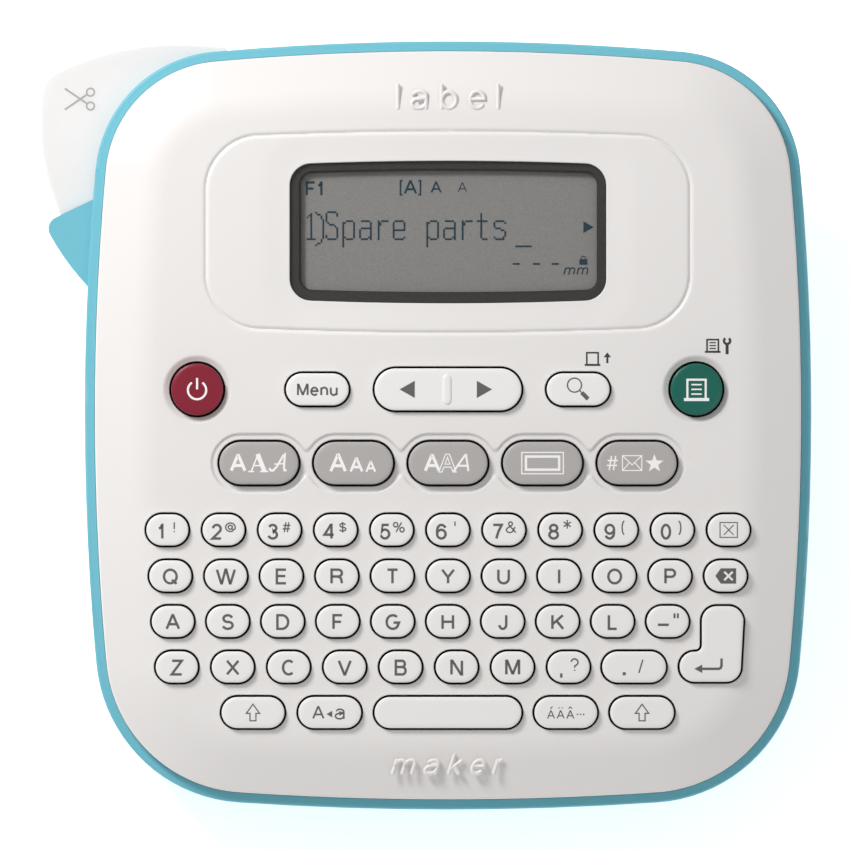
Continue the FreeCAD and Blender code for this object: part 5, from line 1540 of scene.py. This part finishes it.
    def build(self, face: FaceFrame, rows: list[KeyRow]) -> Outline:
        """Make the cover and the black band down its key openings, painted shade that makes the gap round
        each key read dark.

        Args:
            face: The face frame.
            rows: The rows of keys that the openings are for.

        Returns:
            The opening for the display.
        """
        low, high = face.extent("display_window")
        display_y = float(low[1] + high[1]) / 2
        by_node = {row.node: row for row in rows}
        functions = [row for row in rows if row.slot == "key_grey"]
        features = {
            "display": display_y,
            "function": [row.centres(face)[0] for row in functions],
            "function_width": functions[0].width,
            "function_height": functions[0].height,
            "round": [by_node[n].centres(face)[0] for n in ("power_key", "print_key")],
        }
        window = self.window(display_y)
        holes = [outline for row in rows for outline in row.outlines(face)] + [window]
        sheet = Surface()
        self.add_sheet(sheet, holes, features)
        cover = sheet.build("cover_shell", face, Finishes.COVER.material())
        seat(cover, "machine", "cover_white", "top_cover")
        liner = Surface()
        # Painted shade: a black band below the cover's white opening walls, so the gap round each key reads
        # dark.
        for outline in holes[:-1]:
            self.wall_down(liner, outline, -self.hole_wall - 0.6, -self.wall, features, 0.02)
        piece = liner.build("key_opening_shade_liner", face, Finishes.STEM_AND_GAP_SHADE.material())
        seat(piece, "machine", "plastic_dark")
        LOG.info("cover: %d faces, %d openings", len(sheet.faces), len(holes))
        return window

    def wall_down(self, surface: Surface, outline: Outline, top: Optional[float], bottom: float,
                  features: dict, grow: float = 0.0) -> None:
        """Add the wall of an opening, facing into it.

        Args:
            surface: Where it goes.
            outline: The opening.
            top: Height of its upper edge, or None to follow the cover.
            bottom: Height of its lower edge.
            features: What height() needs.
            grow: How far outside the opening it stands.
        """
        ring, way = outline.ring(grow)
        upper = self.height(ring, features) - self.hole_edge if top is None else np.full(len(ring), top)
        upper = np.maximum(upper, bottom + 0.05)
        normal = np.column_stack([-way, np.zeros(len(ring))])
        high = np.column_stack([ring, upper])
        deep = np.column_stack([ring, np.full(len(ring), bottom)])
        surface.loft([(high, normal), (deep, normal)])

    def add_sheet(self, sheet: Surface, holes: list[Outline], features: dict) -> None:
        """Fill the cover's plan with triangles and lift them to the surface's height.

        Args:
            sheet: Where it goes.
            holes: The openings.
            features: What height() needs.
        """
        points: list[np.ndarray] = []
        edges: list[tuple[int, int]] = []
        drop: list[np.ndarray] = []
        tilt: list[np.ndarray] = []
        count = 0

        def gather(ring: np.ndarray, way: np.ndarray, fall: float, cosine: float, sine: float,
                   fixed: bool) -> None:
            """Take one ring of points; a fixed ring keeps its edges."""
            nonlocal count
            if fixed:
                edges.extend((count + i, count + (i + 1) % len(ring)) for i in range(len(ring)))
            points.append(ring)
            drop.append(np.full(len(ring), fall))
            tilt.append(np.column_stack([way * cosine, np.full(len(ring), sine)]))
            count += len(ring)

        outline = self.case.outline()
        angle = math.atan(self.crown_drop / self.crown_width)
        lean = math.pi / 2 - angle
        rounding = self.edge_round
        edge = self.rim_width + self.rim_gap
        centre = (self.crown(np.array([edge + rounding]))[0]) - rounding / math.cos(angle)
        for step in range(5):
            turn = lean * step / 4
            inset = edge + rounding * (1 - math.cos(turn))
            ring, way = outline.ring(-inset)
            fall = self.crown(np.array([inset]))[0] - (centre + rounding * math.sin(turn))
            gather(ring, way, fall, math.cos(turn), math.sin(turn), True)
        for inset in self.crown_insets:
            gather(*outline.ring(-inset), 0.0, 0.0, 1.0, False)
        for hole in holes:
            for step in range(4):
                turn = math.pi / 2 * step / 3
                grow = self.hole_edge * (1 - math.cos(turn))
                ring, way = hole.ring(grow)
                fall = self.hole_edge * (1 - math.sin(turn))
                gather(ring, -way, fall, math.cos(turn), math.sin(turn), True)
            gather(*hole.ring(self.hole_ring), 0.0, 0.0, 1.0, True)
        xs = np.arange(-72.0, 72.1, self.grid_step)
        ys = np.arange(-76.0, 76.1, self.grid_step)
        grid = np.array(np.meshgrid(xs, ys)).reshape(2, -1).T
        coarse = grid[self.case.inset(grid) > self.grid_inset]
        loose = np.vstack([coarse, self.fine_points(features)])
        inset_of = self.case.inset(loose)
        keep = inset_of > self.loose_inset
        keep |= (inset_of > self.fine_inset) & (np.arange(len(loose)) >= len(coarse))
        for hole in holes:
            keep &= ~inside(loose, hole.ring(self.hole_clear)[0])
        loose = loose[keep]
        points.append(loose)
        drop.append(np.zeros(len(loose)))
        tilt.append(np.tile([0.0, 0.0, 1.0], (len(loose), 1)))
        flat, fall, way = np.vstack(points), np.concatenate(drop), np.vstack(tilt)
        made = delaunay_2d_cdt([Vector(p) for p in flat.tolist()], edges, [], 0, 1e-6)
        plan = np.array([tuple(v) for v in made[0]])
        source = np.array([o[0] if o else -1 for o in made[3]])
        triangles = np.array([tuple(f) for f in made[2]])
        middle = plan[triangles].mean(1)
        good = inside(middle, outline.ring(-edge)[0])
        for hole in holes:
            good &= ~inside(middle, hole.ring(0.0)[0])
        triangles = triangles[good]
        shape = plan[triangles]
        turn = (shape[:, 1, 0] - shape[:, 0, 0]) * (shape[:, 2, 1] - shape[:, 0, 1]) \
            - (shape[:, 1, 1] - shape[:, 0, 1]) * (shape[:, 2, 0] - shape[:, 0, 0])
        triangles[turn < 0] = triangles[turn < 0][:, ::-1]
        base = self.height(plan, features)
        normals = self.normals(plan, features)
        known = source >= 0
        base[known] -= fall[source[known]]
        special = np.zeros(len(plan), bool)
        special[known] = way[source[known]][:, 2] < 0.999
        normals[special] = way[source[special]]
        # The outermost ring's lean is measured from upright, so the crown's own slope is in it already.
        used = np.unique(triangles)
        renumber = np.full(len(plan), -1)
        renumber[used] = np.arange(len(used))
        sheet.add(np.column_stack([plan, base])[used], normals[used], renumber[triangles])
        for hole in holes:
            self.wall_down(sheet, hole, None, -self.hole_wall - 0.65, features)
        ring, out = outline.ring(-edge)
        side = np.column_stack([out, np.zeros(len(ring))])
        deep = np.column_stack([ring, np.full(len(ring), -self.skirt)])
        sheet.loft([(deep, side), (np.column_stack([ring, np.full(len(ring), centre)]), side)])


# ---- relief and prints


@dataclass
class CoverMarks:
    """Raised plain words and printed pictures on the cover."""

    raised: float = 0.3

    def build(self, face: FaceFrame, rows: list[KeyRow]) -> None:
        """Make the raised words and the two printed pictures.

        Args:
            face: The face frame.
            rows: The rows of keys, for the places of the pictures.
        """
        by_node = {row.node: row for row in rows}
        for name, words, size, x, y, slant in (
            ("cover_word_upper", "label", 5.6, 0.0, 66.4, Slant.UPRIGHT),
            ("cover_word_lower", "maker", 4.6, 0.0, -68.6, Slant.ITALIC),
        ):
            pen = Pen(0.0)
            pen.text(words, size, x, y, 0.9, slant, 0.34, self.raised)
            piece = pen.surface.build(name, face, Finishes.COVER.material())
            seat(piece, "machine", "cover_white")
        pen = Pen(0.0)
        x, y = by_node["preview_key"].centres(face)[0]
        Icons.page(pen, x + 2.9, y + 6.2, 0.62, lines=False, weight=1.3)
        Icons.up_arrow(pen, x + 5.9, y + 6.4)
        x, y = by_node["print_key"].centres(face)[0]
        Icons.page(pen, x + 3.3, y + 8.85, 0.62, weight=1.3)
        Icons.spanner(pen, x + 6.2, y + 8.85)
        piece = pen.surface.build("cover_printed_pictures", face, Finishes.INK_DARK.material())
        seat(piece, "machine", "cover_white")


# ---- display


# Letters of the message on the display, drawn as lines on a grid of dots 8 wide and 16 high.
DOT_STROKES: dict[str, list[list[Spot]]] = {
    "S": [[(6, 13), (5, 15), (1, 15), (0, 13), (0, 10), (1, 9), (5, 7), (6, 6), (6, 2), (5, 0), (1, 0),
           (0, 2)]],
    "p": [[(0, -4), (0, 9)], [(0, 8), (2, 10), (5, 10), (6, 8), (6, 2), (5, 0), (2, 0), (0, 2)]],
    "a": [[(1, 10), (5, 10), (6, 8), (6, 0)], [(6, 6), (1, 6), (0, 4), (0, 1), (1, 0), (4, 0), (6, 2)]],
    "r": [[(1, 0), (1, 10)], [(1, 7), (3, 10), (6, 10)]],
    "e": [[(0, 5), (6, 5), (6, 8), (5, 10), (1, 10), (0, 8), (0, 2), (1, 0), (5, 0), (6, 1)]],
    "t": [[(2, 14), (2, 1), (3, 0), (5, 0)], [(0, 10), (5, 10)]],
    "s": [[(6, 9), (5, 10), (1, 10), (0, 8), (1, 6), (5, 5), (6, 3), (5, 0), (1, 0), (0, 1)]],
    "1": [[(0, 12), (2, 14), (2, 1)], [(0, 0), (4, 0)]],
    ")": [[(0, 16), (3, 14), (4, 11), (4, 3), (3, 0), (0, -2)]],
}


@dataclass
class Display:
    """The pane, its dark frame, the grey glass and what it shows."""

    opening: tuple[float, float, float] = (59.8, 23.4, 2.2)
    opening_bow: float = 0.55
    pane_top: float = -0.55
    frame_top: float = -1.25
    glass_level: float = -3.0
    pane_slack: float = 0.06
    pane_bevel: float = 0.1
    frame_lip: float = 0.5
    frame_slope: float = 0.45
    dot_pitch: float = 0.365
    dot_size: float = 0.37
    message: str = "Spare parts"

    def build(self, face: FaceFrame, window: Outline, cover: Cover) -> None:
        """Make the pane, the frame and the shown signs.

        Args:
            face: The face frame.
            window: The cover's opening.
            cover: The cover, for the window's place.
        """
        y = window.middle[1]
        pane = Surface()
        slack, bevel = self.pane_slack, self.pane_bevel
        marks = ((-slack, self.frame_top + 0.02, 0.0), (-slack, self.pane_top - bevel, 0.0),
                 (-slack - bevel, self.pane_top, 1.0))
        pane.loft([window.level(grow, height, 1 - up, up) for grow, height, up in marks],
                  cap_first=True, cap_last=True)
        piece = pane.build("display_pane", face, Finishes.PANE.material())
        seat(piece, "machine", "window_clear", "display_window")
        self.build_frame(face, cover.window(y), y)
        self.build_signs(face, y)
        LOG.info("display: pane, frame and signs")

    def build_frame(self, face: FaceFrame, window: Outline, y: float) -> None:
        """Make the dark frame, with a sloping inner edge down to the glass.

        Args:
            face: The face frame.
            window: The cover's opening.
            y: Middle of the display, up the face.
        """
        width, height, corner = self.opening
        inner = rounded_box(0.2, y + 0.15, width, height, corner, self.opening_bow, 10, 16)
        top, lip, slope, foot = self.frame_top, self.frame_lip, self.frame_slope, self.frame_top - 0.5
        frame = Surface()
        frame.loft([outline.level(grow, height, across, up) for outline, grow, height, across, up in (
            (window, lip, self.glass_level, 1.0, 0.0), (window, lip, top, 1.0, 0.0),
            (window, lip, top, 0.0, 1.0), (inner, slope, top, 0.0, 1.0),
            (inner, slope, top, -0.8, 0.6), (inner, 0.0, foot, -0.8, 0.6),
            (inner, 0.0, foot, -1.0, 0.0), (inner, 0.0, self.glass_level + 0.01, -1.0, 0.0),
        )])
        piece = frame.build("display_frame", face, Finishes.BEZEL.material())
        seat(piece, "machine", "bezel_grey", "display_bezel")

    def dots(self, pen: Pen, sign: str, x: float, y: float) -> None:
        """Draw one dot letter.

        Args:
            pen: What draws it.
            sign: Which letter; one that isn't known stays empty.
            x: Lower left corner, to the right.
            y: Lower left corner, up the face.
        """
        lit: set[tuple[int, int]] = set()
        for line in DOT_STROKES.get(sign, []):
            for (x0, y0), (x1, y1) in zip(line, line[1:]):
                steps = int(max(abs(x1 - x0), abs(y1 - y0), 1))
                for step in range(steps + 1):
                    share = step / steps
                    lit.add((round(x0 + (x1 - x0) * share), round(y0 + (y1 - y0) * share)))
        for column, row in sorted(lit):
            pen.bar(self.dot_size, self.dot_size, x + column * self.dot_pitch, y + row * self.dot_pitch)

    def build_signs(self, face: FaceFrame, y: float) -> None:
        """Make the message in dots and the fixed signs round it.

        Args:
            face: The face frame.
            y: Middle of the display, up the face.
        """
        pen = Pen(self.glass_level + 0.03, 0.015)
        pen.text("F1", 3.0, -27.1, y + 8.8, 0.46, gap=0.1)
        for words, size, x, line in (("[", 3.0, -9.4, 0.34), ("A", 2.9, -7.6, 0.42), ("]", 3.0, -5.8, 0.34),
                                     ("A", 2.4, -2.4, 0.32), ("A", 2.0, 2.9, 0.2)):
            pen.text(words, size, x, y + 9.1, line)
        for number_of, sign in enumerate(self.message):
            self.dots(pen, sign, -24.6 + 3.4 * number_of, y - 1.4)
        self.dots(pen, "1", -28.4, y - 1.4)
        self.dots(pen, ")", -26.7, y - 1.9)
        pen.bar(3.3, 0.36, 15.3, y - 2.85)
        for x in (13.8, 17.9, 21.7):
            pen.bar(1.45, 0.36, x, y - 6.4)
        Icons.triangle(pen, 28.4, y + 1.05, 1.0, 0.72)
        Icons.padlock(pen, 27.4, y - 5.6)
        pen.text("mm", 2.1, 26.0, y - 7.6, 0.26, Slant.ITALIC)
        piece = pen.surface.build("display_signs", face, Finishes.SEGMENT.material())
        seat(piece, "machine", "lcd")


# ---- lever


@dataclass
class CutterLever:
    """The milky thumb lever that turns about its pin and works the cutter."""

    pivot: Spot = (-36.0, 63.0)
    radius: float = 47.2
    hub: float = 6.5
    start: float = 122.5
    corner: float = 170.5
    end: float = 208.5
    top: float = -8.7
    plate: float = 2.0
    depth: float = 4.5
    skirt: float = 2.2
    edge: float = 0.7
    corner_round: float = 2.2

    def polar(self, angle: float, radius: float) -> np.ndarray:
        """A point at an angle and a distance from the pin."""
        turn = math.radians(angle)
        return np.array([self.pivot[0] + radius * math.cos(turn), self.pivot[1] + radius * math.sin(turn)])

    @staticmethod
    def bend(a: np.ndarray, b: np.ndarray, c: np.ndarray, steps: int) -> np.ndarray:
        """Points on the arc through three points, from the first towards the last.

        Args:
            a: First point.
            b: A point between.
            c: Last point, which isn't given back.
            steps: How many points.

        Returns:
            The points.
        """
        turn = np.array([b - a, c - a])
        middle = np.linalg.solve(2 * turn, (turn * turn).sum(1)) + a
        angles = [math.atan2(*(p - middle)[::-1]) for p in (a, b, c)]
        sweep = (angles[2] - angles[0]) % TAU
        if (angles[1] - angles[0]) % TAU > sweep:
            sweep -= TAU
        radius = np.hypot(*(a - middle))
        turns = angles[0] + sweep * np.arange(steps) / steps
        return middle + radius * np.column_stack([np.cos(turns), np.sin(turns)])

    def plan(self) -> np.ndarray:
        """The lever's outline, anticlockwise, with its outer corner rounded."""
        toe, heel = self.polar(self.start + 1.5, 16.4), self.polar(self.corner, self.radius - 0.6)
        end = self.polar(self.end, self.radius)
        front = self.bend(toe, self.polar(144.5, 25.0), heel, 40)
        side = self.bend(heel, self.polar((self.corner + self.end) / 2, self.radius), end, 32)
        cut = [p for p in front if np.hypot(*(p - heel)) > self.corner_round]
        rest = [p for p in side if np.hypot(*(p - heel)) > self.corner_round]
        a, c = cut[-1], rest[0]
        share = np.linspace(0, 1, 9)[1:-1, None]
        corner = (1 - share) ** 2 * a + 2 * share * (1 - share) * heel + share ** 2 * c
        start = self.polar(self.start, self.hub)
        close = self.polar(self.end, self.hub)
        path = np.vstack([start, cut, corner, rest, end, close])
        return path[::-1] if self.area(path) < 0 else path

    @staticmethod
    def area(path: np.ndarray) -> float:
        """Twice the signed area of a closed path."""
        x, y = path.T
        return float(np.sum(x * np.roll(y, -1) - y * np.roll(x, -1)))

    def build(self, face: FaceFrame) -> None:
        """Make the lever as a plate with a skirt, and the printed scissors."""
        path = self.plan()
        before, after = path - np.roll(path, 1, axis=0), np.roll(path, -1, axis=0) - path
        before /= np.linalg.norm(before, axis=1, keepdims=True)
        after /= np.linalg.norm(after, axis=1, keepdims=True)
        way = np.column_stack([(before + after)[:, 1], -(before + after)[:, 0]])
        way /= np.linalg.norm(way, axis=1, keepdims=True)

        def ring(inset: float, height: float, across: float, up: float) -> Ring:
            """The outline moved in, at a height, with its normals."""
            points = np.column_stack([path - way * inset, np.full(len(path), height)])
            return points, np.column_stack([way * across, np.full(len(path), up)])

        foot, under = self.top - self.depth, self.top - self.plate
        rings = [ring(self.skirt, under, 0.0, -1.0), ring(self.skirt, under, -1.0, 0.0),
                 ring(self.skirt, foot, -1.0, 0.0), ring(self.skirt, foot, 0.0, -1.0),
                 ring(0.0, foot, 0.0, -1.0), ring(0.0, foot, 1.0, 0.0)]
        for step in range(7):
            turn = math.pi / 2 * step / 6
            rings.append(ring(self.edge * (1 - math.cos(turn)), self.top - self.edge * (1 - math.sin(turn)),
                              math.cos(turn), math.sin(turn)))
        lever = Surface()
        lever.loft(rings, cap_first=True, cap_last=True)
        piece = lever.build("lever_shell", face, Finishes.LEVER.material())
        seat(piece, "lever", "lever_milky", "cutter_lever")
        pen = Pen(self.top)
        Icons.scissors(pen, -74.6, 66.1)
        piece = pen.surface.build("lever_printed_scissors", face, Finishes.INK_PALE.material())
        seat(piece, "lever", "lever_milky")
        LOG.info("cutter lever: shell and scissors")


# ---- carried-over parts


@dataclass
class CarriedParts:
    """Parts of the frame whose shape is right and that only need their finish."""

    finishes: dict[str, Finishes] = field(default_factory=lambda: {
        "base_case": Finishes.CASE, "back_cover": Finishes.CASE, "lcd_glass": Finishes.SCREEN,
        "lcd_holder": Finishes.TRAY, "keypad_mat": Finishes.SILICONE, "main_board": Finishes.BOARD,
        "cutter_pin": Finishes.STEEL, "lever_spring": Finishes.CONTACT, "fixed_blade": Finishes.BLADE,
        "moving_blade": Finishes.BLADE, "mechanism_frame": Finishes.STEEL, "print_head": Finishes.TRAY,
        "motor": Finishes.CAN, "tape_cassette": Finishes.TRAY, "label_tape": Finishes.TAPE,
        "batteries": Finishes.BATTERY, "battery_springs": Finishes.CONTACT,
        "battery_contacts": Finishes.CONTACT, "dc_jack": Finishes.TRAY, "case_screws": Finishes.STEEL,
        "rubber_feet": Finishes.FOOT, "drive_gear": Finishes.GEAR, "motor_pinion": Finishes.GEAR,
        "platen_roller": Finishes.PLATEN, "platen_gear": Finishes.GEAR, "platen_shaft": Finishes.STEEL,
        "tape_roll": Finishes.TAPE, "ribbon_roll": Finishes.RIBBON, "takeup_roll": Finishes.RIBBON,
    })

    def dress(self, nodes: dict) -> None:
        """Give each carried-over part its material."""
        for name, finish in self.finishes.items():
            for slot in nodes[name].material_slots:
                slot.material = finish.material()
        LOG.info("carried parts: %d dressed", len(self.finishes))


# ---- studio


@dataclass
class Studio:
    """A white sweep, a large soft lamp from the upper left, a weak fill and the camera."""

    aim: Spot = (-4.65, 0.0)
    distance: float = 2500.0
    field_width: float = 171.8
    sensor: float = 36.0
    sky: float = 0.45
    key_watts: float = 2.4
    key_spot: tuple[float, float, float] = (-300.0, 330.0, 360.0)
    key_size: float = 170.0
    fill_watts: float = 0.15
    fill_spot: tuple[float, float, float] = (250.0, -120.0, 520.0)
    fill_size: float = 300.0

    def lamp(self, name: str, spot: Sequence[float], size: float, watts: float, face: FaceFrame) -> None:
        """Make a square soft lamp aimed at the middle of the face.

        Args:
            name: Its name.
            spot: Its place in the face frame.
            size: Length of its side.
            watts: Its power.
            face: The face frame.
        """
        data = bpy.data.lights.new(name, "AREA")
        data.energy = watts
        data.size = size * MM
        lamp = bpy.data.objects.new(name, data)
        place = face.place @ Vector(spot)
        lamp.location = place
        lamp.rotation_euler = (face.place @ Vector((0, 0, 0)) - place).to_track_quat("-Z", "Y").to_euler()
        bpy.context.scene.collection.objects.link(lamp)

    def build(self, face: FaceFrame) -> None:
        """Make the camera, the lamps, the sky and the floor.

        Args:
            face: The face frame, which the camera looks square at.
        """
        data = bpy.data.cameras.new("camera")
        data.sensor_width = self.sensor
        data.lens = self.sensor * self.distance / self.field_width
        camera = bpy.data.objects.new("camera", data)
        turn = face.place.to_3x3().normalized().to_4x4()
        camera.matrix_world = Matrix.Translation(face.place @ Vector((*self.aim, self.distance))) @ turn
        bpy.context.scene.collection.objects.link(camera)
        bpy.context.scene.camera = camera
        self.lamp("key_lamp", self.key_spot, self.key_size, self.key_watts, face)
        self.lamp("fill_lamp", self.fill_spot, self.fill_size, self.fill_watts, face)
        world = bpy.data.worlds.new("studio")
        world.use_nodes = True
        world.node_tree.nodes["Background"].inputs[0].default_value = (1.0, 1.0, 1.0, 1.0)
        world.node_tree.nodes["Background"].inputs[1].default_value = self.sky
        bpy.context.scene.world = world
        bpy.context.scene.view_settings.view_transform = "Standard"
        mesh = bpy.data.meshes.new("floor")
        reach = 3.0
        mesh.from_pydata([(-reach, -reach, 0), (reach, -reach, 0), (reach, reach, 0), (-reach, reach, 0)], [],
                         [(0, 1, 2, 3)])
        mesh.materials.append(Finishes.FLOOR.material())
        floor = bpy.data.objects.new("floor", mesh)
        bpy.context.scene.collection.objects.link(floor)
        floor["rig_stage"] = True
        LOG.info("studio: camera, two lamps, floor")


def plain(corners: tuple[Vector, Vector]) -> list[list[float]]:
    """A box's two corners as plain lists."""
    return [[float(value) for value in corner] for corner in corners]


def main() -> None:
    """Load the frame, build each sub-assembly in order and measure the bounds before and after."""
    logging.basicConfig(level=logging.INFO, format="%(name)s %(message)s")
    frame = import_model()
    cad_box = plain(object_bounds())
    face = FaceFrame.from_frame(frame)
    Studio().build(face)
    CarriedParts().dress(frame["nodes"])
    rows = Keyboard().build(frame, face)
    cover = Cover()
    window = cover.build(face, rows)
    CoverMarks().build(face, rows)
    Display().build(face, window, cover)
    CutterLever().build(face)
    {"cad": cad_box, "visual": plain(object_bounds())}


if __name__ == "__main__":
    main()
